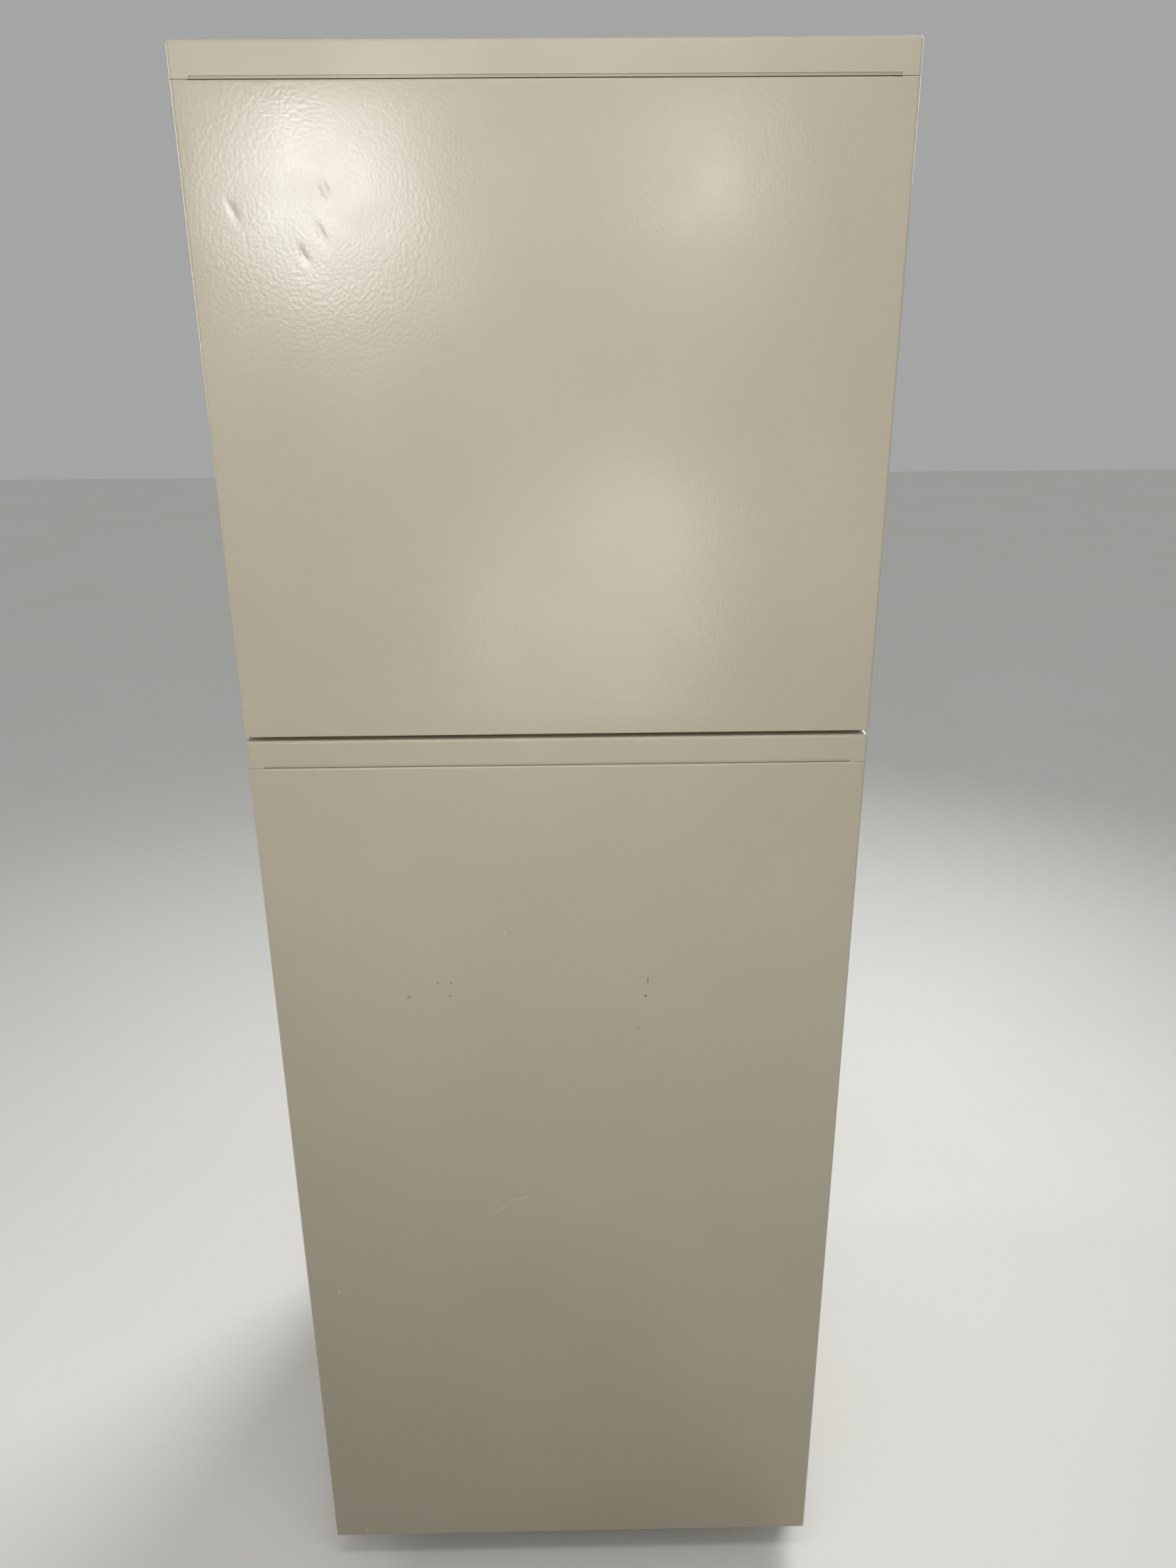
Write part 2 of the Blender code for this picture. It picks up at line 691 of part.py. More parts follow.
# --- Inside the compartments --------------------------------------------------------------------------------
def make_shelves():
    """Glass shelves in the fridge, and a slotted shelf in the freezer."""
    half = LINER_X - LINER - 0.0005
    rear = LINER_REAR - LINER - 0.0005
    for name, level in SHELF_LEVELS.items():
        block(name, (-half, half), (SHELF_FRONT, rear), (level, level + 0.004), "shelf_glass")
    shelf = block(
        "freezer_shelf",
        (-half, half),
        (SHELF_FRONT, COVER_FRONT - 0.001),
        (FREEZER_SHELF_LEVEL, FREEZER_SHELF_LEVEL + 0.005),
        "liner_white",
    )
    slot = block("shelf_slot", (-0.232, -0.212), (SHELF_FRONT + 0.015, COVER_FRONT - 0.015), (1.38, 1.42))
    cut(shelf, repeat(slot, 15, (0.0317, 0, 0)))


def make_crisper():
    """The vegetable drawer under its glass cover. It slides out along -Y."""
    slide = axis_empty("crisper_axis", (0, SHELF_FRONT + 0.010, 0.200))
    drawer = open_box(
        "crisper_drawer",
        (-0.2440, 0.2440),
        (SHELF_FRONT + 0.010, HUMP_FRONT - LINER - 0.010),
        (FRIDGE_FLOOR + LINER + 0.004, SHELF_LEVELS["crisper_cover"] - 0.009),
        0.0025,
        "+z",
        "bin_clear",
    )
    hang(slide, drawer)


def make_controls():
    """Housing at the fridge's ceiling with its lamp cover and thermostat knob, and the door's lamp switch."""
    ceiling = FRIDGE_CEILING - LINER - GAP
    block("control_housing", (-0.130, 0.130), (0.0, 0.150), (1.050, ceiling), "liner_white", 0.006, 2)
    open_box("lamp_cover", (-0.112, 0.034), (-0.014, -GAP), (1.057, 1.092), 0.0015, "+y", "lamp_plastic")

    knob_turn = axis_empty("knob_axis", (0.078, 0.0, 1.0745))
    grip = [(0, 0.018), (0.0165, 0.018), (0.018, 0.016), (0.019, 0.003), (0.019, GAP), (0, GAP)]
    knob = turned("thermostat_knob", grip, knob_turn.location, "liner_white", rotation=(pi / 2, 0, 0))
    ridge = block("knob_ridge", (0.0755, 0.0805), (-0.023, -0.016), (1.0600, 1.0890))
    fuse(knob, ridge)
    hang(knob_turn, knob)

    x, z = SWITCH_X, SWITCH_Z
    switch = block(
        "door_switch", (x - 0.011, x + 0.011), (-0.225, -0.185), (z - 0.0095, ceiling), "liner_white", 0.001, 1
    )
    cut(switch, rod("switch_bore", 0.0048, (x, -0.240, z), (x, -0.195, z)))
    push = axis_empty("switch_axis", (x, DYKE_TOP + GAP, z))
    plunger = [(0, 0.0328), (0.0026, 0.0328), (0.0040, 0.0308), (0.0040, 0.0), (0, 0.0)]
    button = turned("switch_plunger", plunger, (x, -0.203, z), "liner_white", rotation=(pi / 2, 0, 0), sides=16)
    hang(push, button)


# --- Doors --------------------------------------------------------------------------------------------------
def make_door(label, bottom, top, dyke, seal, grip_z):
    """One door without its bins: skin, caps, foam, liner, gasket and the grip in its left edge."""
    joint = top - CAP_HEIGHT
    swing = axis_empty(f"{label}_door_axis", (HINGE_X, HINGE_Y, bottom))
    pieces = [
        make_skin(label, bottom, joint, grip_z),
        make_top_cap(label, joint, top),
        make_bottom_cap(label, bottom),
        make_door_foam(label, bottom, joint, dyke, grip_z),
        make_door_liner(label, bottom, top, dyke),
        make_gasket(label, seal),
        make_grip(label, grip_z),
    ]
    hang(swing, *pieces)
    return swing


def make_skin(label, bottom, joint, grip_z):
    """The folded steel front: one sheet bent round both sides, with a short return at the rear."""
    beyond = 0.03
    skin = block(
        f"{label}_door_skin",
        (-SIDE, SIDE),
        (FRONT, DOOR_REAR),
        (bottom, joint - GAP),
        "door_paint",
        EDGE_RADIUS,
        3,
        rounds=is_upright,
    )
    cut(
        skin,
        block(
            f"{label}_skin_inside",
            (-SIDE + SHEET, SIDE - SHEET),
            (FRONT + SHEET, DOOR_REAR - SHEET),
            (bottom - beyond, joint + beyond),
        ),
        block(
            f"{label}_skin_rear",
            (-SIDE + 0.012, SIDE - 0.012),
            (DOOR_REAR - 0.005, DOOR_REAR + beyond),
            (bottom - beyond, joint + beyond),
        ),
        block(
            f"{label}_skin_grip",
            (-SIDE - beyond, -SIDE + 0.006),
            (GRIP_Y[0] - GAP, GRIP_Y[1] + GAP),
            (grip_z[0] - GAP, grip_z[1] + GAP),
        ),
    )
    return skin


def make_top_cap(label, joint, top):
    """The moulded cap along the top: hollow below, with a boss for the hinge pin and a groove at its front."""
    name, wall, beyond = f"{label}_door_top_cap", 0.0025, 0.02
    cap = block(
        name, (-SIDE, SIDE), (FRONT, DOOR_REAR), (joint - beyond, top), "cap_plastic", EDGE_RADIUS, 3
    )
    cut(
        cap,
        block(f"{name}_trim", (-FAR, FAR), (-FAR, 0.0), (joint - 2 * beyond, joint + GAP)),
        block(
            f"{name}_inside",
            (-SIDE + wall, SIDE - wall),
            (FRONT + wall, DOOR_REAR - wall),
            (joint - beyond, top - wall),
        ),
        block(
            f"{name}_groove",
            (-SIDE + 0.016, SIDE - 0.016),
            (FRONT - beyond, FRONT + 0.0012),
            (joint - beyond, joint + 0.002),
        ),
    )
    fuse(cap, upright_rod(f"{name}_boss", 0.010, top - 0.025, top - 0.001))
    cut(cap, upright_rod(f"{name}_bore", PIN_HOLE, top - 0.022, top + beyond))
    return cap


def make_bottom_cap(label, bottom):
    """The tray that closes the lower end of a door inside its skin, with a boss for the hinge pin."""
    name, wall = f"{label}_door_bottom_cap", 0.002
    reach = SIDE - SHEET - GAP
    cap = open_box(
        name,
        (-reach, reach),
        (FRONT + SHEET + GAP, DOOR_REAR - SHEET - GAP),
        (bottom, bottom + 0.020),
        wall,
        "+z",
        "cap_plastic",
        radius=EDGE_RADIUS - SHEET,
    )
    fuse(cap, upright_rod(f"{name}_boss", 0.009, bottom + 0.001, bottom + 0.0195))
    cut(cap, upright_rod(f"{name}_bore", PIN_HOLE, bottom - 0.020, bottom + 0.0175))
    return cap


def make_door_foam(label, bottom, joint, dyke, grip_z):
    """Foam between skin and liner. It also fills the raised frame of the liner."""
    name = f"{label}_door_foam"
    reach, inset = SIDE - SHEET - GAP, LINER + GAP
    foam = block(
        name,
        (-reach, reach),
        (FRONT + SHEET + GAP, DOOR_REAR - SHEET - GAP),
        (bottom + 0.0205, joint - 2 * GAP),
        "foam",
        EDGE_RADIUS - SHEET,
        1,
        rounds=is_upright,
    )
    fuse(
        foam,
        block(
            f"{name}_dyke",
            (-DYKE_X + inset, DYKE_X - inset),
            (DOOR_REAR - 0.010, DYKE_TOP - inset),
            (dyke[0] + inset, dyke[1] - inset),
        ),
    )
    pan = pan_limits(dyke)
    cut(
        foam,
        block(
            f"{name}_pan",
            (-PAN_X - inset, PAN_X + inset),
            (PAN_FLOOR - inset, 0.0),
            (pan[0] - inset, pan[1] + inset),
        ),
        block(
            f"{name}_grip",
            (-FAR, -SIDE + GRIP_DEEP + GAP),
            (GRIP_Y[0] - GAP, GRIP_Y[1] + GAP),
            (grip_z[0] - GAP, grip_z[1] + GAP),
        ),
    )
    return foam


def pan_limits(dyke):
    """Lower and upper inside of the hollow in a door's liner."""
    band = DYKE_X - PAN_X
    return dyke[0] + band, dyke[1] - band


def make_door_liner(label, bottom, top, dyke):
    """The formed plastic inner skin: a flange, a raised frame, and a hollow for the bins inside it."""
    name, far = f"{label}_door_liner", 0.10
    pan = pan_limits(dyke)
    liner = block(
        name,
        (-SIDE + 0.0035, SIDE - 0.0035),
        (DOOR_REAR - 0.002, DOOR_REAR + GAP + LINER),
        (bottom + 0.004, top - 0.004),
        "liner_white",
    )
    depth = (DOOR_REAR - 0.020, DYKE_TOP)
    fuse(liner, block(f"{name}_frame", (-DYKE_X, DYKE_X), depth, dyke, radius=EDGE_RADIUS))
    cut(
        liner,
        block(f"{name}_trim", (-FAR, FAR), (-FAR, DOOR_REAR + GAP), (0.0, 2.0)),
        block(
            f"{name}_back",
            (-DYKE_X + LINER, DYKE_X - LINER),
            (-far - DEPTH, DYKE_TOP - LINER),
            (dyke[0] + LINER, dyke[1] - LINER),
        ),
    )
    fuse(
        liner,
        block(
            f"{name}_tray",
            (-PAN_X - LINER, PAN_X + LINER),
            (PAN_FLOOR - LINER, DYKE_TOP - LINER / 2),
            (pan[0] - LINER, pan[1] + LINER),
        ),
    )
    cut(liner, block(f"{name}_pan", (-PAN_X, PAN_X), (PAN_FLOOR, 0.0), pan))
    return liner


def make_gasket(label, seal):
    """The magnetic seal, a frame between the door's liner and the cabinet's steel face."""
    name, width = f"{label}_door_gasket", 0.012
    reach = HINGE_X - 0.005
    y = (DOOR_REAR + LINER + 2 * GAP, CABINET_FRONT - GAP)
    gasket = block(name, (-reach, reach), y, seal, "gasket")
    inner = (seal[0] + width, seal[1] - width)
    return cut(gasket, block(f"{name}_hole", (-reach + width, reach - width), (-FAR, 0.0), inner))


def make_grip(label, grip_z):
    """The finger pocket let into the door's left edge."""
    return open_box(
        f"{label}_door_grip", (-SIDE, -SIDE + GRIP_DEEP), GRIP_Y, grip_z, 0.002, "-x", "grip_plastic"
    )


def make_bin(name, bottom, height, swing):
    """One clear bin in a door's liner."""
    made = open_box(
        name,
        (-PAN_X + GAP, PAN_X - GAP),
        (PAN_FLOOR + GAP, BIN_FRONT),
        (bottom, bottom + height),
        0.0022,
        "+z",
        "bin_clear",
    )
    hang(swing, made)


def make_dairy_flap(swing):
    """The hood over the topmost bin. It lifts about two stub pins in the liner's side walls."""
    y, z = FLAP_PIVOT
    half, thick, foot = 0.206, 0.001, 0.929
    lift = axis_empty("flap_axis", (0, y, z))
    flap = block("dairy_flap", (-half, half), (y - 0.003, BIN_FRONT + thick), (z - thick, z + thick), "bin_clear")
    fuse(
        flap,
        block(
            "flap_front",
            (-half + GAP, half - GAP),
            (BIN_FRONT - thick, BIN_FRONT + thick - GAP),
            (foot, z + thick - GAP),
        ),
        block("flap_pull", (-0.040, 0.040), (BIN_FRONT, BIN_FRONT + 0.008), (foot + GAP, foot + 0.003)),
        rod("flap_pins", 0.0025, (-PAN_X - thick, y, z), (PAN_X + thick, y, z), sides=12),
    )
    liner = bpy.data.objects["fridge_door_liner"]
    cut(liner, rod("flap_bearings", 0.0034, (-PAN_X - 0.01, y, z), (PAN_X + 0.01, y, z), sides=12))
    hang(lift, flap)
    lift.location = Vector(lift.location) - Vector(swing.location)
    lift.parent = swing


# --- Door hinges --------------------------------------------------------------------------------------------
def hinge_eye(name, low, high):
    """The round end of a hinge plate, about the doors' axis."""
    return upright_rod(name, EYE_RADIUS, low + EYE_STEP, high - EYE_STEP)


def make_top_hinge():
    """Plate on the cabinet's top with a pin down into the freezer door, and its plastic cover."""
    low, high = DOOR_TOP + 0.0005, DOOR_TOP + 0.003
    hinge = block("top_hinge", (0.240, 0.2975), (-0.250, -0.165), (CABINET_TOP + GAP, high), "zinc_steel")
    fuse(
        hinge,
        block("hinge_arm", (HINGE_X - EYE_RADIUS, 0.2970), (HINGE_Y, -0.240), (low, high - EYE_STEP)),
        hinge_eye("hinge_eye", low, high - EYE_STEP),
        upright_rod("hinge_pin", PIN_RADIUS, DOOR_TOP - 0.018, high - 0.0015),
    )
    cover = open_box(
        "top_hinge_cover",
        (0.225, 0.2998),
        (-0.2600, -0.150),
        (CABINET_TOP + GAP, CABINET_TOP + 0.016),
        0.0015,
        "-z",
        "cap_plastic",
        radius=0.002,
    )
    cut(
        cover,
        block("cover_notch", (HINGE_X - 0.012, 0.2981), (-0.30, -0.255), (CABINET_TOP - 0.01, high + 0.0008)),
    )


def make_middle_hinge():
    """Plate in the seam with a pin for each door, on a tab against the rail."""
    low, high = SEAM_LEVEL - 0.0012, SEAM_LEVEL + 0.0012
    rear = CABINET_FRONT - GAP
    plate_x, plate_y = (HINGE_X - EYE_RADIUS, PLATE_RIGHT), (HINGE_Y, rear - 0.0007)
    hinge = block("middle_hinge", plate_x, plate_y, (low, high), "zinc_steel")
    fuse(
        hinge,
        block("seam_tab", HINGE_TAB, (rear - 0.002, rear), (SEAM_LEVEL - 0.0055, SEAM_LEVEL + 0.0055)),
        hinge_eye("seam_eye", low, high),
        upright_rod("seam_pin", PIN_RADIUS, SEAM_LEVEL - 0.018, SEAM_LEVEL + 0.018),
    )


def make_bottom_hinge():
    """Plate under the fridge door with a pin up into it, on a tab against the base."""
    low, high = DOOR_BOTTOM - 0.0045, DOOR_BOTTOM - 0.0015
    rear = CABINET_FRONT - GAP
    plate_x, plate_y = (HINGE_X - EYE_RADIUS, PLATE_RIGHT), (HINGE_Y, rear - 0.0007)
    hinge = block("bottom_hinge", plate_x, plate_y, (low, high), "zinc_steel")
    fuse(
        hinge,
        block("base_tab", HINGE_TAB, (rear - 0.002, rear), (CABINET_FOOT + 0.002, high - 0.0006)),
        hinge_eye("base_eye", low, high),
        upright_rod("base_pin", PIN_RADIUS, low + 0.001, DOOR_BOTTOM + 0.015),
    )


def main():
    """Makes every piece, the cabinet first and its doors after it."""
    clear_scene()
    make_cabinet_shell()
    make_base()
    make_kick_plate()
    make_feet_and_rollers()
    make_compressor()
    make_pipes()
    make_freezer_cooling()
    make_shelves()
    make_crisper()
    make_controls()

    half_seam = SEAM / 2
    fridge = make_door(
        "fridge",
        DOOR_BOTTOM,
        SEAM_LEVEL - half_seam,
        dyke=(FRIDGE_FLOOR + 0.0135, FRIDGE_CEILING - 0.015),
        seal=(DOOR_BOTTOM + 0.011, SEAM_LEVEL - 0.007),
        grip_z=(0.920, 1.080),
    )
    freezer = make_door(
        "freezer",
        SEAM_LEVEL + half_seam,
        DOOR_TOP,
        dyke=(FREEZER_FLOOR + 0.012, FREEZER_CEILING - 0.010),
        seal=(SEAM_LEVEL + 0.007, DOOR_TOP - 0.018),
        grip_z=(1.175, 1.335),
    )
    make_bin("fridge_bin_upper", 0.862, 0.060, fridge)
    make_bin("fridge_bin_middle", 0.560, 0.075, fridge)
    make_bin("fridge_bin_lower", 0.142, 0.105, fridge)
    make_bin("freezer_bin", 1.205, 0.075, freezer)
    make_dairy_flap(fridge)

    make_top_hinge()
    make_middle_hinge()
    make_bottom_hinge()


main()
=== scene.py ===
"""Looks of a two-door fridge-freezer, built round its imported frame.

Metres, +Z up. The doors face -Y and hinge at +X. Places and sizes come from the frame's own boxes. Every finish
is procedural and reads Object coordinates, so its pattern keeps its real scale on every piece.
"""

import logging
from collections.abc import Callable, Iterable, Sequence
from dataclasses import dataclass, field
from enum import Enum
from math import cos, exp, hypot, pi, radians, sin
from typing import Any

import bmesh
import bpy
from mathutils import Matrix, Vector, noise


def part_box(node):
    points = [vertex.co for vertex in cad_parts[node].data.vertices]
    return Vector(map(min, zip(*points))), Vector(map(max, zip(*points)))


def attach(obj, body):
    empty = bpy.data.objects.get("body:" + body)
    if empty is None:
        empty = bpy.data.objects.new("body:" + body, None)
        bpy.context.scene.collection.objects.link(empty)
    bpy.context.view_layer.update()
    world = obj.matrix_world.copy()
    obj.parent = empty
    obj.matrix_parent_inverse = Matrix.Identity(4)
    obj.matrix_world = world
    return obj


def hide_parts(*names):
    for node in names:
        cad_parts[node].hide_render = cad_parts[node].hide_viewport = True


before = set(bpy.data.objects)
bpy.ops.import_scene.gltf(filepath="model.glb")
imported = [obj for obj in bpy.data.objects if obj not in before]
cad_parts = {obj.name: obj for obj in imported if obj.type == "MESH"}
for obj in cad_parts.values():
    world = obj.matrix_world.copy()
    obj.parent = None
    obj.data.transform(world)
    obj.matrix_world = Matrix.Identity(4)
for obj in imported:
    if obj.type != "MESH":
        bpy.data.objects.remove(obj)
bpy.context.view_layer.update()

LOG = logging.getLogger("fridge_freezer")

MM = 0.001
GAP = 0.3 * MM  # between pieces that touch
EDGE_RADIUS = 3 * MM  # of the doors' folded edges
SHEET = 1 * MM  # steel sheet
LINER = 1.5 * MM  # formed plastic sheet
HINGE_X, HINGE_Y = 0.288, -0.290  # the doors' hinge axis

Point = Sequence[float]
EdgePick = Callable[[bmesh.types.BMEdge], bool]
FacePick = Callable[[bmesh.types.BMFace], bool]


class Axis(Enum):
    """The three directions of the frame."""

    X = 0
    Y = 1
    Z = 2


class Body(str, Enum):
    """The frame's bodies, which move as one piece each."""

    CABINET = "cabinet"
    FREEZER_DOOR = "freezer_door"
    FRIDGE_DOOR = "fridge_door"
    FLAP = "flap"
    CRISPER = "crisper"
    KNOB = "knob"
    PLUNGER = "plunger"
    FAN = "fan"
    FOOT_LEFT = "foot_left"
    FOOT_RIGHT = "foot_right"
    ROLLER_LEFT = "roller_left"
    ROLLER_RIGHT = "roller_right"


class Slot(str, Enum):
    """The record's material slots."""

    DOOR_PAINT = "door_paint"
    CAP_PLASTIC = "cap_plastic"
    CABINET_PAINT = "cabinet_paint"
    ZINC_STEEL = "zinc_steel"
    FOAM = "foam"
    LINER_WHITE = "liner_white"
    GASKET = "gasket"
    GRIP_PLASTIC = "grip_plastic"
    BIN_CLEAR = "bin_clear"
    SHELF_GLASS = "shelf_glass"
    BLACK_STEEL = "black_steel"
    COPPER = "copper"
    BLACK_PLASTIC = "black_plastic"
    ALUMINIUM = "aluminium"
    LAMP_PLASTIC = "lamp_plastic"


# --- Finishes -----------------------------------------------------------------------------------------------
def linear(colour: str) -> tuple[float, float, float, float]:
    """Turns an sRGB hex colour into linear RGBA.

    Args:
        colour: Six hex digits.

    Returns:
        Linear red, green, blue and an alpha of 1.
    """
    channels = (int(colour[i : i + 2], 16) / 255 for i in (0, 2, 4))
    red, green, blue = (c / 12.92 if c <= 0.04045 else ((c + 0.055) / 1.055) ** 2.4 for c in channels)
    return red, green, blue, 1.0


def add_node(
    tree: bpy.types.NodeTree,
    kind: str,
    settings: dict[Any, Any] | None = None,
    links: dict[Any, bpy.types.NodeSocket] | None = None,
) -> bpy.types.Node:
    """Adds a node, sets it up and joins its inputs.

    Args:
        tree: The material's node tree.
        kind: The node's Blender type.
        settings: Values by property name or by input name or number. "stops" holds a colour ramp's stops.
        links: Sockets of other nodes, by this node's input name or number.

    Returns:
        The new node.
    """
    node = tree.nodes.new(kind)
    for key, value in (settings or {}).items():
        if key == "stops":
            ramp = node.color_ramp
            for index, (place, colour) in enumerate(value):
                stop = ramp.elements[index] if index < 2 else ramp.elements.new(place)
                stop.position = place
                stop.color = colour
        elif isinstance(key, str) and hasattr(node, key):
            setattr(node, key, value)
        else:
            node.inputs[key].default_value = value
    for key, socket in (links or {}).items():
        tree.links.new(socket, node.inputs[key])
    return node


MIX_A, MIX_B, MIX_COLOUR = 6, 7, 2  # a colour Mix node's inputs and output


@dataclass(frozen=True)
class Finish:
    """A surface as a maker would name it. Subclasses draw its pattern.

    Attributes:
        name: The material's name.
        colour: Its sRGB hex colour.
        roughness: Of the whole surface, before any pattern.
    """

    name: str
    colour: str
    roughness: float

    def material(self) -> bpy.types.Material:
        """Makes the Blender material once, and returns it each time."""
        found = bpy.data.materials.get(self.name)
        if found:
            return found
        made = bpy.data.materials.new(self.name)
        made.use_nodes = True
        tree = made.node_tree
        shader = tree.nodes["Principled BSDF"]
        shader.inputs["Base Color"].default_value = linear(self.colour)
        shader.inputs["Roughness"].default_value = self.roughness
        made.diffuse_color = linear(self.colour)
        place = add_node(tree, "ShaderNodeTexCoord").outputs["Object"]
        self.draw(tree, shader, place)
        return made

    def draw(self, tree: bpy.types.NodeTree, shader: bpy.types.Node, place: bpy.types.NodeSocket) -> None:
        """Adds the finish's pattern to its shader.

        Args:
            tree: The material's node tree.
            shader: Its Principled shader.
            place: Object coordinates.
        """
        raise NotImplementedError

    def cloud(
        self,
        tree: bpy.types.NodeTree,
        place: bpy.types.NodeSocket,
        size: float,
        low: float,
        high: float,
        detail: float = 2.0,
    ) -> bpy.types.NodeSocket:
        """A soft noise stretched between two values.

        Args:
            tree: The material's node tree.
            place: Coordinates to read.
            size: Width of one patch.
            low: Value of the darkest patches.
            high: Value of the brightest ones.
            detail: Octaves of finer noise.

        Returns:
            The value's socket.
        """
        grain = add_node(
            tree, "ShaderNodeTexNoise", {"Scale": 1 / size, "Detail": detail, "Roughness": 0.5}, {"Vector": place}
        )
        span = {
            "interpolation_type": "SMOOTHSTEP",
            "From Min": 0.22,
            "From Max": 0.78,
            "To Min": low,
            "To Max": high,
        }
        return add_node(tree, "ShaderNodeMapRange", span, {"Value": grain.outputs["Fac"]}).outputs["Result"]

    def tint(
        self,
        tree: bpy.types.NodeTree,
        share: bpy.types.NodeSocket,
        under: bpy.types.NodeSocket | None,
        over: str,
    ) -> bpy.types.NodeSocket:
        """Mixes a hex colour over what is there.

        Args:
            tree: The material's node tree.
            share: How much of the new colour shows.
            under: The colour so far, or None for the finish's own.
            over: The hex colour on top.

        Returns:
            The mixed colour's socket.
        """
        settings: dict[Any, Any] = {"data_type": "RGBA", MIX_A: linear(self.colour), MIX_B: linear(over)}
        links: dict[Any, bpy.types.NodeSocket] = {0: share}
        if under is not None:
            links[MIX_A] = under
        return add_node(tree, "ShaderNodeMix", settings, links).outputs[MIX_COLOUR]

    def relief(
        self,
        tree: bpy.types.NodeTree,
        height: bpy.types.NodeSocket,
        depth: float,
    ) -> bpy.types.NodeSocket:
        """Turns a height of 0 to 1 into a bumped normal.

        Args:
            tree: The material's node tree.
            height: The pattern's height.
            depth: How deep 1 is, in metres.

        Returns:
            The normal's socket.
        """
        bump = add_node(tree, "ShaderNodeBump", {"Distance": depth, "Strength": 1.0}, {"Height": height})
        return bump.outputs["Normal"]


@dataclass(frozen=True)
class Mark:
    """A scuff or a scratch on a door's front.

    Attributes:
        x: Its middle.
        z: Its middle.
        length: Half its length.
        width: Half its width.
        tilt: Degrees from the X axis.
        colour: What shows in it.
        strength: How much of that shows.
    """

    x: float
    z: float
    length: float
    width: float
    tilt: float = 0.0
    colour: str = "4A463C"
    strength: float = 0.7


@dataclass(frozen=True)
class PowderCoat(Finish):
    """Polyester powder, sprayed on sheet steel and baked: a fine orange peel, and soft broad reflections.

    Attributes:
        shade: The colour of the thinner, duller patches.
        peel: Width of one bump of the orange peel.
        depth: How deep the peel is.
        marks: Scuffs and scratches.
        painted_floor_shade: How much the colour is darkened towards the floor, as painted shade.
    """

    shade: str = "ABA48E"
    peel: float = 3.2 * MM
    depth: float = 0.07 * MM
    marks: tuple[Mark, ...] = ()
    painted_floor_shade: float = 0.0

    def draw(self, tree: bpy.types.NodeTree, shader: bpy.types.Node, place: bpy.types.NodeSocket) -> None:
        """Adds patches, painted shade that darkens towards the floor, marks and the orange peel. See Finish.draw for
        the arguments.
        """
        colour = self.tint(tree, self.cloud(tree, place, 0.22, 0.0, 0.45), None, self.shade)
        # Painted shade: the colour darkens towards the floor to 7C745C, standing in for the light falling off down
        # the front.
        if self.painted_floor_shade:
            height = add_node(tree, "ShaderNodeSeparateXYZ", {}, {"Vector": place}).outputs["Z"]
            span = {"From Min": 0.9, "From Max": 0.02, "To Min": 0.0, "To Max": self.painted_floor_shade}
            low = add_node(tree, "ShaderNodeMapRange", span, {"Value": height}).outputs["Result"]
            colour = self.tint(tree, low, colour, "7C745C")
        for mark in self.marks:
            colour = self.tint(tree, self.mask(tree, place, mark), colour, mark.colour)
        gloss = self.cloud(tree, place, 0.09, self.roughness - 0.03, self.roughness + 0.04, 3.0)
        peel = add_node(
            tree,
            "ShaderNodeTexNoise",
            {"Scale": 1 / self.peel, "Detail": 1.0, "Roughness": 0.4},
            {"Vector": place},
        )
        normal = self.relief(tree, peel.outputs["Fac"], self.depth)
        tree.links.new(colour, shader.inputs["Base Color"])
        tree.links.new(gloss, shader.inputs["Roughness"])
        tree.links.new(normal, shader.inputs["Normal"])

    def mask(self, tree: bpy.types.NodeTree, place: bpy.types.NodeSocket, mark: Mark) -> bpy.types.NodeSocket:
        """An oval that is strong in its middle and fades at its rim.

        Args:
            tree: The material's node tree.
            place: Object coordinates.
            mark: The oval's place, size and strength.

        Returns:
            The mask's socket.
        """
        turned = add_node(
            tree,
            "ShaderNodeMapping",
            {
                "vector_type": "TEXTURE",
                "Location": (mark.x, 0.0, mark.z),
                "Rotation": (0.0, -radians(mark.tilt), 0.0),
                "Scale": (mark.length, 1.0, mark.width),
            },
            {"Vector": place},
        )
        flat = add_node(
            tree,
            "ShaderNodeVectorMath",
            {"operation": "MULTIPLY", 1: (1.0, 0.0, 1.0)},
            {0: turned.outputs["Vector"]},
        )
        reach = add_node(tree, "ShaderNodeVectorMath", {"operation": "LENGTH"}, {0: flat.outputs["Vector"]})
        span = {"From Min": 0.45, "From Max": 1.0, "To Min": mark.strength, "To Max": 0.0}
        return add_node(tree, "ShaderNodeMapRange", span, {"Value": reach.outputs["Value"]}).outputs["Result"]


@dataclass(frozen=True)
class MouldedPlastic(Finish):
    """Injection-moulded or formed plastic: a spark-eroded grain, or none where the mould was polished.

    Attributes:
        shade: The colour of worn or yellowed patches.
        grain: Width of one bump of the mould's grain.
        depth: How deep the grain is.
        patch: Width of the patches.
    """

    shade: str = ""
    grain: float = 0.9 * MM
    depth: float = 0.02 * MM
    patch: float = 0.08

    def draw(self, tree: bpy.types.NodeTree, shader: bpy.types.Node, place: bpy.types.NodeSocket) -> None:
        """Adds worn patches and the mould's grain. See Finish.draw for the arguments."""
        share = self.cloud(tree, place, self.patch, 0.0, 0.5)
        tree.links.new(self.tint(tree, share, None, self.shade or self.colour), shader.inputs["Base Color"])
        gloss = self.cloud(tree, place, self.patch, self.roughness - 0.04, self.roughness + 0.05)
        tree.links.new(gloss, shader.inputs["Roughness"])
        grain = add_node(
            tree, "ShaderNodeTexNoise", {"Scale": 1 / self.grain, "Detail": 2.0}, {"Vector": place}
        ).outputs["Fac"]
        tree.links.new(self.relief(tree, grain, self.depth), shader.inputs["Normal"])


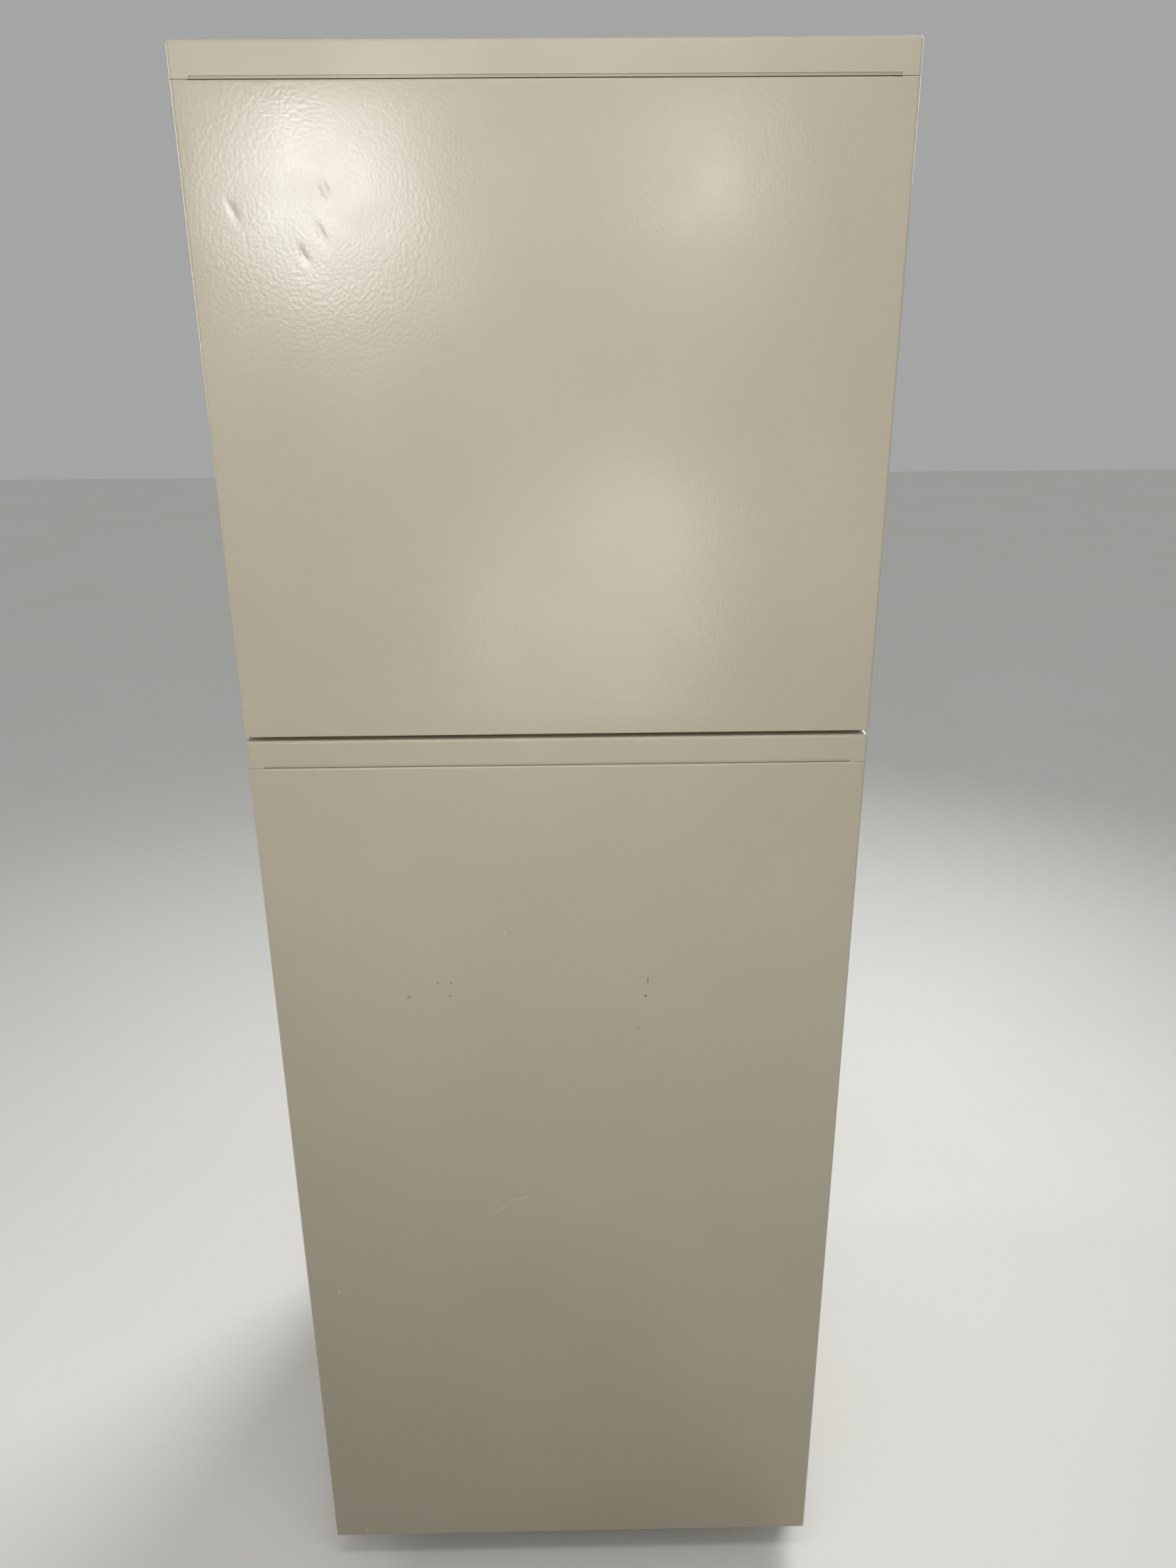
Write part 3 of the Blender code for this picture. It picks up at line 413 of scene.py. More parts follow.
@dataclass(frozen=True)
class ClearSheet(Finish):
    """A see-through solid: polystyrene with its faint haze, or tempered glass with its green body.

    Attributes:
        bend: Its refractive index.
        clarity: Share of the light that goes through.
        opacity: How much of it hides what is behind, where the sheet is too thin to bend the view.
        ripple: Width of the waves that rolling or moulding left.
        ripple_depth: How deep the waves are.
    """

    bend: float = 1.5
    clarity: float = 1.0
    opacity: float = 1.0
    ripple: float = 0.03
    ripple_depth: float = 0.01 * MM

    def draw(self, tree: bpy.types.NodeTree, shader: bpy.types.Node, place: bpy.types.NodeSocket) -> None:
        """Adds the transmission, the waves and a film of smears. See Finish.draw for the arguments."""
        shader.inputs["IOR"].default_value = self.bend
        shader.inputs["Transmission Weight"].default_value = self.clarity
        shader.inputs["Alpha"].default_value = self.opacity
        smear = self.cloud(tree, place, 0.05, self.roughness, self.roughness + 0.07, 3.0)
        tree.links.new(smear, shader.inputs["Roughness"])
        wave = self.cloud(tree, place, self.ripple, 0.0, 1.0)
        tree.links.new(self.relief(tree, wave, self.ripple_depth), shader.inputs["Normal"])


class MetalPattern(Enum):
    """What a metal's making leaves on it."""

    SPANGLE = "crystals of a hot-dip zinc coat"
    PLATED = "the even haze of an electroplated coat"
    DRAWN = "fine lines along a drawn or rolled piece"


@dataclass(frozen=True)
class BareMetal(Finish):
    """Metal without paint.

    Attributes:
        tarnish: The colour of its dull patches.
        pattern: What its making left.
        size: Width of one crystal, patch or line.
    """

    tarnish: str = "808080"
    pattern: MetalPattern = MetalPattern.PLATED
    size: float = 8 * MM

    def draw(self, tree: bpy.types.NodeTree, shader: bpy.types.Node, place: bpy.types.NodeSocket) -> None:
        """Adds the metal's pattern and its tarnish. See Finish.draw for the arguments."""
        shader.inputs["Metallic"].default_value = 1.0
        spread = (self.roughness - 0.08, self.roughness + 0.12)
        if self.pattern is MetalPattern.SPANGLE:
            cells = add_node(tree, "ShaderNodeTexVoronoi", {"Scale": 1 / self.size}, {"Vector": place})
            value = add_node(tree, "ShaderNodeSeparateXYZ", {}, {"Vector": cells.outputs["Color"]}).outputs["X"]
        elif self.pattern is MetalPattern.DRAWN:
            long_way = add_node(
                tree, "ShaderNodeMapping", {"Scale": (1.0, 1.0, 0.05)}, {"Vector": place}
            ).outputs["Vector"]
            value = self.cloud(tree, long_way, self.size, 0.0, 1.0, 4.0)
        else:
            value = self.cloud(tree, place, self.size, 0.0, 1.0, 4.0)
        share = add_node(
            tree, "ShaderNodeMapRange", {"To Min": 0.0, "To Max": 0.55}, {"Value": value}
        ).outputs["Result"]
        tree.links.new(self.tint(tree, share, None, self.tarnish), shader.inputs["Base Color"])
        gloss = add_node(
            tree, "ShaderNodeMapRange", {"To Min": spread[0], "To Max": spread[1]}, {"Value": value}
        ).outputs["Result"]
        tree.links.new(gloss, shader.inputs["Roughness"])
        fine = self.cloud(tree, place, 0.6 * MM, 0.0, 1.0)
        tree.links.new(self.relief(tree, fine, 0.01 * MM), shader.inputs["Normal"])


@dataclass(frozen=True)
class DustyEnamel(Finish):
    """Black stoving enamel on steel, with house dust on what faces up.

    Attributes:
        dust: The dust's colour.
        amount: Share of it on a level face.
    """

    dust: str = "8A857B"
    amount: float = 0.45

    def draw(self, tree: bpy.types.NodeTree, shader: bpy.types.Node, place: bpy.types.NodeSocket) -> None:
        """Adds the dust and a faint texture. See Finish.draw for the arguments."""
        facing = add_node(tree, "ShaderNodeNewGeometry").outputs["Normal"]
        upward = add_node(tree, "ShaderNodeSeparateXYZ", {}, {"Vector": facing}).outputs["Z"]
        level = add_node(
            tree, "ShaderNodeMapRange", {"From Min": 0.1, "To Max": self.amount}, {"Value": upward}
        ).outputs["Result"]
        patchy = self.cloud(tree, place, 12 * MM, 0.3, 1.0, 4.0)
        share = add_node(tree, "ShaderNodeMath", {"operation": "MULTIPLY"}, {0: level, 1: patchy})
        tree.links.new(self.tint(tree, share.outputs["Value"], None, self.dust), shader.inputs["Base Color"])
        gloss = self.cloud(tree, place, 20 * MM, self.roughness - 0.05, self.roughness + 0.15)
        tree.links.new(gloss, shader.inputs["Roughness"])
        fine = self.cloud(tree, place, 1.2 * MM, 0.0, 1.0)
        tree.links.new(self.relief(tree, fine, 0.04 * MM), shader.inputs["Normal"])


@dataclass(frozen=True)
class CellFoam(Finish):
    """Polyurethane foam: closed cells, matt and pitted.

    Attributes:
        cell: Width of one cell.
    """

    cell: float = 1.4 * MM

    def draw(self, tree: bpy.types.NodeTree, shader: bpy.types.Node, place: bpy.types.NodeSocket) -> None:
        """Adds the cells and uneven yellowing. See Finish.draw for the arguments."""
        cells = add_node(tree, "ShaderNodeTexVoronoi", {"Scale": 1 / self.cell}, {"Vector": place})
        tree.links.new(self.relief(tree, cells.outputs["Distance"], 0.4 * MM), shader.inputs["Normal"])
        share = self.cloud(tree, place, 0.04, 0.0, 0.6, 3.0)
        tree.links.new(self.tint(tree, share, None, "B99A5C"), shader.inputs["Base Color"])


DOOR_COLOUR = "B8B09C"
SCUFF, CHIP = "5A5547", "D9D2C0"
WEAR = (
    Mark(-0.160, 0.843, 3.0 * MM, 0.9 * MM, 0),
    Mark(-0.129, 0.860, 2.2 * MM, 0.9 * MM, 5),
    Mark(-0.115, 0.860, 1.6 * MM, 1.0 * MM, 0),
    Mark(-0.117, 0.844, 2.0 * MM, 1.6 * MM, 0, strength=0.5),
    Mark(0.090, 0.859, 6.5 * MM, 0.8 * MM, 90),
    Mark(0.088, 0.841, 1.9 * MM, 1.7 * MM, 0, strength=0.8),
    Mark(0.080, 0.801, 2.6 * MM, 1.6 * MM, 20, strength=0.25),
    Mark(-0.073, 0.564, 13.0 * MM, 0.8 * MM, 38, CHIP, 0.55),
    Mark(-0.048, 0.579, 18.0 * MM, 0.7 * MM, 12, CHIP, 0.5),
    Mark(-0.265, 0.447, 1.8 * MM, 1.6 * MM, 0, CHIP, 0.8),
    Mark(-0.057, 0.918, 1.6 * MM, 1.2 * MM, 0, CHIP, 0.7),
    Mark(-0.261, 0.054, 2.2 * MM, 1.5 * MM, 0, CHIP, 0.8),
)

# Baked polyester powder on steel sheet, beige-grey: soft broad reflections over a fine orange peel, with painted
# shade darkening it towards the floor.
DOOR_PAINT = PowderCoat("powder_coated_steel_door", DOOR_COLOUR, 0.225, marks=WEAR, painted_floor_shade=0.25)
# ABS moulded and sprayed to match the doors: a touch smoother than the powder coat.
CAP_PLASTIC = MouldedPlastic("painted_abs_moulding", "B6AE9A", 0.34, shade="AEA691", grain=1.6 * MM)
# The same powder coat on the cabinet, a coarser leather-like peel and a duller tone, with painted shade darkening it
# towards the floor.
CABINET_PAINT = PowderCoat(
    "powder_coated_steel_cabinet", "ACA48F", 0.42, shade="A09883", peel=2.6 * MM, depth=0.14 * MM, painted_floor_shade=0.2
)
# Hot-dip galvanised sheet: grey crystals the size of a fingernail.
GALVANISED = BareMetal("hot_dip_galvanised_sheet", "A9ADAF", 0.42, "83888B", MetalPattern.SPANGLE, 11 * MM)
# Zinc-plated and passivated pressings and screws: an even blue-grey haze.
ZINC_PLATE = BareMetal("zinc_plated_steel", "B4B6B6", 0.32, "8C8E8C", MetalPattern.PLATED, 5 * MM)
# Rigid polyurethane foam, blown in place.
PU_FOAM = CellFoam("rigid_polyurethane_foam", "D6C08A", 0.9)
# High-impact polystyrene sheet, vacuum-formed: white, glossy, faintly yellowed.
LINER_WHITE = MouldedPlastic(
    "vacuum_formed_polystyrene", "E8E8E2", 0.3, shade="E2E0D6", grain=2.5 * MM, depth=0.02 * MM, patch=0.3
)
# The same plastic injection-moulded, with a finer grain.
WHITE_MOULDING = MouldedPlastic("moulded_white_polystyrene", "E9E9E3", 0.36, shade="DFDDD2")
# Soft PVC extrusion with a magnet strip inside: matt, greyed by handling.
GASKET_PVC = MouldedPlastic("extruded_soft_pvc", "BDB7A8", 0.62, shade="A49D8C", grain=2 * MM, depth=0.04 * MM)
# ABS pocket, moulded in a darker tone of the doors.
GRIP_PLASTIC = MouldedPlastic("moulded_abs_grip", "8E8575", 0.45, shade="7B7263", grain=1.2 * MM, depth=0.05 * MM)
# General-purpose polystyrene, injection-moulded: clear with a cool cast.
BIN_CLEAR = ClearSheet("clear_polystyrene_moulding", "F3F6F3", 0.08, 1.59, 0.25, 0.42, 0.02)
# Tempered float glass, 4 mm: faint green.
SHELF_GLASS = ClearSheet("tempered_float_glass", "D3E6DD", 0.03, 1.52, 0.5, 0.36, 0.12)
# Black stoving enamel on the compressor and the condenser.
BLACK_ENAMEL = DustyEnamel("black_stoved_enamel", "17171A", 0.38)
# Drawn copper tube, dulled to brown in patches.
COPPER = BareMetal("drawn_copper_tube", "C07F55", 0.30, "7A4A32", MetalPattern.DRAWN, 4 * MM)
# Black polypropylene, moulded with a light grain.
BLACK_PLASTIC = MouldedPlastic("moulded_black_polypropylene", "222224", 0.5, shade="2E2E30", depth=0.05 * MM)
# Natural rubber mounts.
BLACK_RUBBER = MouldedPlastic("moulded_black_rubber", "1C1C1C", 0.75, shade="2B2A28", grain=1.5 * MM)
# Aluminium fins and plate, rolled.
ALUMINIUM = BareMetal("rolled_aluminium", "C3C6C8", 0.36, "9EA2A5", MetalPattern.DRAWN, 3 * MM)
# Opal polystyrene lens over the lamp.
LAMP_LENS = ClearSheet("opal_polystyrene_lens", "F4F0E0", 0.35, 1.5, 0.45, 0.85, 0.006, 0.3 * MM)


# --- Shaping ------------------------------------------------------------------------------------------------
def runs_along(edge: bmesh.types.BMEdge, axis: Axis) -> bool:
    """True for an edge that runs along an axis."""
    along = edge.verts[1].co - edge.verts[0].co
    return abs(along[axis.value]) > 0.99 * along.length


def middle(edge: bmesh.types.BMEdge) -> Vector:
    """The middle of an edge."""
    return (edge.verts[0].co + edge.verts[1].co) / 2


def lies_at(edge: bmesh.types.BMEdge, axis: Axis, place: float) -> bool:
    """True for an edge with both ends at one place on an axis."""
    return all(near(vert.co[axis.value], place) for vert in edge.verts)


def near(value: float, target: float, slack: float = 0.05 * MM) -> bool:
    """True if two lengths are the same but for rounding."""
    return abs(value - target) < slack


def outline(low: Point, high: Point, radius: float, turns: int = 6) -> list[tuple[float, float]]:
    """A rectangle with rounded corners.

    Args:
        low: Its lowest corner, in the plane that it lies in.
        high: Its highest corner.
        radius: Of its corners.
        turns: Steps in each corner.

    Returns:
        Its points, in order round it.
    """
    radius = max(radius, 0.2 * MM)
    points = []
    for quarter, (u, v) in enumerate(
        ((high[0] - radius, high[1] - radius), (low[0] + radius, high[1] - radius),
         (low[0] + radius, low[1] + radius), (high[0] - radius, low[1] + radius))
    ):
        for i in range(turns + 1):
            angle = pi / 2 * (quarter + i / turns)
            points.append((u + radius * cos(angle), v + radius * sin(angle)))
    return points


def in_mm(profile: Iterable[tuple[float, float]]) -> list[tuple[float, float]]:
    """Turns a profile's millimetres into metres."""
    return [(a * MM, b * MM) for a, b in profile]


def steps(low: float, high: float, pitch: float) -> list[float]:
    """Places between two limits, evenly spaced and no further apart than the pitch."""
    count = max(1, round((high - low) / pitch))
    return [low + (high - low) * i / count for i in range(1, count)]


def rounded_route(corners: Sequence[Point], radius: float, turns: int = 8) -> list[Vector]:
    """A pipe's route with its corners bent.

    Args:
        corners: The route's ends and corners.
        radius: Length of each corner that the bend takes up.
        turns: Steps in each bend.

    Returns:
        The points of the bent route.
    """
    points = [Vector(c) for c in corners]
    route = [points[0]]
    for before, corner, after in zip(points, points[1:], points[2:]):
        enter = corner + (before - corner).normalized() * radius
        leave = corner + (after - corner).normalized() * radius
        for i in range(turns + 1):
            t = i / turns
            route.append(enter * (1 - t) ** 2 + corner * 2 * t * (1 - t) + leave * t**2)
    return [*route, points[-1]]


class Workpiece:
    """A mesh in the making, shaped with bmesh operators. Its methods return it, so that they can follow on."""

    def __init__(self) -> None:
        """Starts with nothing."""
        self.bm = bmesh.new()

    def block(self, low: Point, high: Point) -> "Workpiece":
        """Adds a box.

        Args:
            low: Its lowest corner.
            high: Its highest corner.

        Returns:
            This workpiece.
        """
        low, high = Vector(low), Vector(high)
        made = bmesh.ops.create_cube(self.bm, size=1.0)["verts"]
        bmesh.ops.scale(self.bm, vec=high - low, verts=made)
        bmesh.ops.translate(self.bm, vec=(low + high) / 2, verts=made)
        return self

    def rounded_block(self, low: Point, high: Point, radius: float, segments: int = 3) -> "Workpiece":
        """Adds a box with all its edges rounded.

        Args:
            low: Its lowest corner.
            high: Its highest corner.
            radius: Of its edges.
            segments: Steps in each edge.

        Returns:
            This workpiece.
        """
        before = set(self.bm.edges)
        self.block(low, high)
        return self.round_edges(lambda e: e not in before, radius, segments)

    def rod(self, start: Point, end: Point, radius: float, sides: int = 24, tip: float | None = None) -> "Workpiece":
        """Adds a cylinder, or a cone.

        Args:
            start: Middle of one end.
            end: Middle of the other.
            radius: Radius at the start.
            sides: Faces round it.
            tip: Radius at the end, if it isn't the same.

        Returns:
            This workpiece.
        """
        start, end = Vector(start), Vector(end)
        along = end - start
        matrix = Matrix.Translation((start + end) / 2) @ along.to_track_quat("Z", "Y").to_matrix().to_4x4()
        bmesh.ops.create_cone(
            self.bm,
            cap_ends=True,
            segments=sides,
            radius1=radius,
            radius2=radius if tip is None else tip,
            depth=along.length,
            matrix=matrix,
        )
        return self

    def turn(
        self, profile: Sequence[tuple[float, float]], start: Point, along: Point, sides: int = 48
    ) -> "Workpiece":
        """Adds a turned shape.

        Args:
            profile: Radii and heights, from one end of the shape to the other.
            start: Where height 0 is.
            along: The axis, on which height is measured.
            sides: Faces round it.

        Returns:
            This workpiece.
        """
        verts = [self.bm.verts.new((radius, 0.0, height)) for radius, height in profile]
        edges = [self.bm.edges.new(pair) for pair in zip(verts, verts[1:])]
        bmesh.ops.spin(
            self.bm,
            geom=[*verts, *edges],
            cent=(0, 0, 0),
            axis=(0, 0, 1),
            angle=2 * pi,
            steps=sides,
            use_merge=True,
        )
        fresh = self.island(verts[0])
        bmesh.ops.remove_doubles(self.bm, verts=fresh, dist=0.001 * MM)
        fresh = [v for v in fresh if v.is_valid]
        faces = list({f for v in fresh for f in v.link_faces})
        bmesh.ops.recalc_face_normals(self.bm, faces=faces)
        place = Matrix.Translation(Vector(start)) @ Vector(along).to_track_quat("Z", "Y").to_matrix().to_4x4()
        bmesh.ops.transform(self.bm, matrix=place, verts=fresh)
        return self

    def island(self, seed: bmesh.types.BMVert) -> list[bmesh.types.BMVert]:
        """Finds what hangs together.

        Args:
            seed: A vertex of the piece looked for.

        Returns:
            Every vertex joined to it by edges.
        """
        found, front = {seed}, [seed]
        while front:
            for edge in front.pop().link_edges:
                for vert in edge.verts:
                    if vert not in found:
                        found.add(vert)
                        front.append(vert)
        return list(found)

    def pipe(self, route: Sequence[Point], radius: float, sides: int = 12) -> "Workpiece":
        """Adds a round pipe or wire, closed at both ends.

        Args:
            route: The points that its middle goes through.
            radius: Of the pipe.
            sides: Faces round it.

        Returns:
            This workpiece.
        """
        points = [Vector(p) for p in route]
        ahead = [(b - a).normalized() for a, b in zip(points, points[1:])]
        tangents = [ahead[0], *((a + b).normalized() for a, b in zip(ahead, ahead[1:])), ahead[-1]]
        place = Matrix.Translation(points[0]) @ tangents[0].to_track_quat("Z", "Y").to_matrix().to_4x4()
        ring = bmesh.ops.create_circle(self.bm, segments=sides, radius=radius, matrix=place)["verts"]
        edges = list({e for v in ring for e in v.link_edges})
        bmesh.ops.contextual_create(self.bm, geom=edges)
        for here, there, was, now in zip(points, points[1:], tangents, tangents[1:]):
            made = bmesh.ops.extrude_edge_only(self.bm, edges=edges)["geom"]
            verts = [g for g in made if isinstance(g, bmesh.types.BMVert)]
            edges = [g for g in made if isinstance(g, bmesh.types.BMEdge)]
            edges = [e for e in edges if all(v in verts for v in e.verts)]
            swing = was.rotation_difference(now).to_matrix().to_4x4()
            step = Matrix.Translation(there) @ swing @ Matrix.Translation(-here)
            bmesh.ops.transform(self.bm, matrix=step, verts=verts)
        bmesh.ops.contextual_create(self.bm, geom=edges)
        fresh = self.island(edges[0].verts[0])
        bmesh.ops.recalc_face_normals(self.bm, faces=list({f for v in fresh for f in v.link_faces}))
        return self

    def loft(self, loops: Sequence[Sequence[Point]], first: bool = True, last: bool = True) -> "Workpiece":
        """Draws a skin through loops of equally many points, by extruding the first one from each to the next.

        Args:
            loops: The outlines, in order. Points that fall together are merged.
            first: Whether the first outline is filled.
            last: Whether the last one is.

        Returns:
            This workpiece.
        """
        ring = [self.bm.verts.new(p) for p in loops[0]]
        fresh = list(ring)
        edges = [self.bm.edges.new(pair) for pair in zip(ring, ring[1:] + ring[:1])]
        if first:
            self.bm.faces.new(ring)
        for loop in loops[1:]:
            made = bmesh.ops.extrude_edge_only(self.bm, edges=edges)["geom"]
            new = {g for g in made if isinstance(g, bmesh.types.BMVert)}
            ring = [next(e.other_vert(v) for e in v.link_edges if e.other_vert(v) in new) for v in ring]
            edges = [self.bm.edges.get(pair) for pair in zip(ring, ring[1:] + ring[:1])]
            for vert, place in zip(ring, loop):
                vert.co = place
            fresh += ring
        if last:
            self.bm.faces.new(ring)
        bmesh.ops.remove_doubles(self.bm, verts=fresh, dist=0.001 * MM)
        faces = list({f for v in fresh if v.is_valid for f in v.link_faces})
        bmesh.ops.recalc_face_normals(self.bm, faces=faces)
        return self

    def terrace(
        self,
        axis: Axis,
        low: Point,
        high: Point,
        profile: Sequence[tuple[float, float]],
        radius: float,
        fillet: float = 0.0,
        first: bool = False,
        last: bool = True,
    ) -> "Workpiece":
        """Adds a formed skin: rounded rectangles that step in and out along an axis.

        Args:
            axis: The axis that the rectangles lie across.
            low: Lowest corner of the widest rectangle, without the axis' own coordinate.
            high: Its highest corner.
            profile: How far each rectangle is inset from the widest one, and its place on the axis.
            radius: Corner radius where the inset is 0. It shrinks with the inset.
            fillet: Length of each turn of the profile that a curve takes up.
            first: Whether the first rectangle is filled.
            last: Whether the last one is.

        Returns:
            This workpiece.
        """
        route = [(inset, place, 0.0) for inset, place in profile]
        if fillet:
            route = rounded_route(route, fillet, 4)
        loops = []
        for inset, place, _ in route:
            ring = outline(
                [c + inset for c in low], [c - inset for c in high], max(radius - inset, 0.35 * radius)
            )
            loops.append([(*uv[: axis.value], place, *uv[axis.value :]) for uv in ring])
        return self.loft(loops, first, last)

    def round_edges(self, pick: EdgePick, radius: float, segments: int = 4) -> "Workpiece":
        """Rounds edges.

        Args:
            pick: Chooses the edges.
            radius: Of the rounding.
            segments: Steps in it.

        Returns:
            This workpiece.
        """
        bmesh.ops.bevel(
            self.bm,
            geom=[e for e in self.bm.edges if pick(e)],
            offset=radius,
            offset_type="OFFSET",
            segments=segments,
            profile=0.5,
            material=-1,
            affect="EDGES",
            clamp_overlap=True,
        )
        return self

    def slice(self, axis: Axis, places: Iterable[float]) -> "Workpiece":
        """Cuts every face along planes across an axis, and keeps both sides.

        Args:
            axis: The axis.
            places: Where the planes cross it.

        Returns:
            This workpiece.
        """
        normal = [0.0, 0.0, 0.0]
        normal[axis.value] = 1.0
        for place in places:
            spot = [0.0, 0.0, 0.0]
            spot[axis.value] = place
            geometry = [*self.bm.verts, *self.bm.edges, *self.bm.faces]
            bmesh.ops.bisect_plane(self.bm, geom=geometry, dist=0.001 * MM, plane_co=spot, plane_no=normal)
        return self

    def faces(self, pick: FacePick) -> list[bmesh.types.BMFace]:
        """The faces that pick chooses."""
        self.bm.normal_update()
        return [f for f in self.bm.faces if pick(f)]

    def open(self, pick: FacePick) -> "Workpiece":
        """Takes the chosen faces away, and what only they held."""
        bmesh.ops.delete(self.bm, geom=self.faces(pick), context="FACES")
        return self

    def hem(self, pick: FacePick, width: float) -> "Workpiece":
        """Opens faces but for a rim.

        Args:
            pick: Chooses the faces.
            width: Of the rim.

        Returns:
            This workpiece.
        """
        chosen = self.faces(pick)
        bmesh.ops.inset_region(self.bm, faces=chosen, thickness=width, use_even_offset=True)
        bmesh.ops.delete(self.bm, geom=chosen, context="FACES")
        return self

    def push(self, pick: FacePick, inset: float, move: Point) -> "Workpiece":
        """Insets faces together, and moves what is inside the inset.

        Args:
            pick: Chooses the faces.
            inset: Width of the rim that stays.
            move: How far the inside moves.

        Returns:
            This workpiece.
        """
        chosen = self.faces(pick)
        bmesh.ops.inset_region(self.bm, faces=chosen, thickness=inset, use_even_offset=True)
        bmesh.ops.translate(self.bm, vec=move, verts=list({v for f in chosen for v in f.verts}))
        return self

    def face_out(self, way: Point) -> "Workpiece":
        """Turns an open skin over if most of its area faces the wrong way.

        Args:
            way: The way that it should face.

        Returns:
            This workpiece.
        """
        bmesh.ops.recalc_face_normals(self.bm, faces=list(self.bm.faces))
        toward = sum((f.normal * f.calc_area() for f in self.bm.faces), Vector()).dot(Vector(way))
        return self if toward > 0 else self.flip()

    def flip(self) -> "Workpiece":
        """Turns every face over."""
        bmesh.ops.reverse_faces(self.bm, faces=list(self.bm.faces))
        return self

    def finish(
        self,
        name: str,
        finish: Finish,
        body: Body,
        slot: Slot,
        stands_for: Sequence[str] = (),
        wall: float = 0.0,
        crease: float = 35.0,
    ) -> bpy.types.Object:
        """Makes the object, dresses it and lets it ride on its body.

        Args:
            name: The piece's name.
            finish: Its material.
            body: What it moves with.
            slot: The record's slot for its finish; not used.
            stands_for: The CAD nodes that it replaces.
            wall: Thickness to give an open skin, on the side away from where its faces point.
            crease: Edges sharper than this many degrees stay sharp.

        Returns:
            The new object.
        """
        mesh = bpy.data.meshes.new(name)
        self.bm.to_mesh(mesh)
        self.bm.free()
        mesh.shade_smooth()
        mesh.set_sharp_from_angle(angle=radians(crease))
        mesh.materials.append(finish.material())
        piece = bpy.data.objects.new(name, mesh)
        bpy.context.scene.collection.objects.link(piece)
        if wall:
            thick = piece.modifiers.new("Wall", "SOLIDIFY")
            thick.thickness = wall
            thick.offset = -1.0
            thick.use_even_offset = True
        flat = piece.modifiers.new("Flats", "WEIGHTED_NORMAL")
        flat.keep_sharp = True
        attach(piece, body.value)
        if stands_for:
            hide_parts(*stands_for)
        LOG.info("%s: %d faces on %s", name, len(mesh.polygons), body.value)
        return piece


def dress(node: str, finish: Finish) -> None:
    """Gives a CAD node its finish.

    Args:
        node: The node's name.
        finish: Its material.
    """
    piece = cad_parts[node]
    piece.data.materials.clear()
    piece.data.materials.append(finish.material())


@dataclass(frozen=True)
class Screw:
    """A hex-headed or pan-headed screw.

    Attributes:
        place: Where its head meets the sheet.
        out: The way its head points.
        radius: Of the head.
        hexagonal: Whether it takes a spanner.
    """

    place: tuple[float, float, float]
    out: tuple[float, float, float]
    radius: float = 4 * MM
    hexagonal: bool = False

    def add_to(self, work: Workpiece) -> None:
        """Adds a hexagonal head on a flange, or a dome with a recess.

        Args:
            work: What it is added to.
        """
        place, out, r = Vector(self.place), Vector(self.out), self.radius
        if self.hexagonal:
            flange = [(0, 0), (1.25, 0), (1.25, 0.12), (1.05, 0.25), (0, 0.25)]
            work.turn([(r * a, r * b) for a, b in flange], place, out, 24)
            work.rod(place + out * r * 0.2, place + out * r * 0.85, r, 6, r * 0.92)
            return
        dome = [(0, 0), (1, 0), (0.97, 0.25), (0.8, 0.48), (0.5, 0.6), (0.34, 0.62), (0.12, 0.3), (0, 0.3)]
        work.turn([(r * a, r * b) for a, b in dome], place, out, 16)


# --- Doors --------------------------------------------------------------------------------------------------
@dataclass(frozen=True)
class Dent:
    """A short slanting ding in a door's skin.

    Attributes:
        x: Its middle.
        z: Its middle.
        radius: Half its height.
        depth: Of its middle.
        lean: How far it leans over, as a share of its height.
    """

    x: float
    z: float
    radius: float
    depth: float
    lean: float = 0.4

    def sink(self, x: float, z: float) -> float:
        """How deep the sheet is pressed in.

        Args:
            x: A place on the sheet.
            z: Its height.

        Returns:
            The depth there.
        """
        up = z - self.z
        across = 2.0 * (x - self.x + self.lean * up)
        return self.depth * exp(-(across**2 + up**2) / self.radius**2)


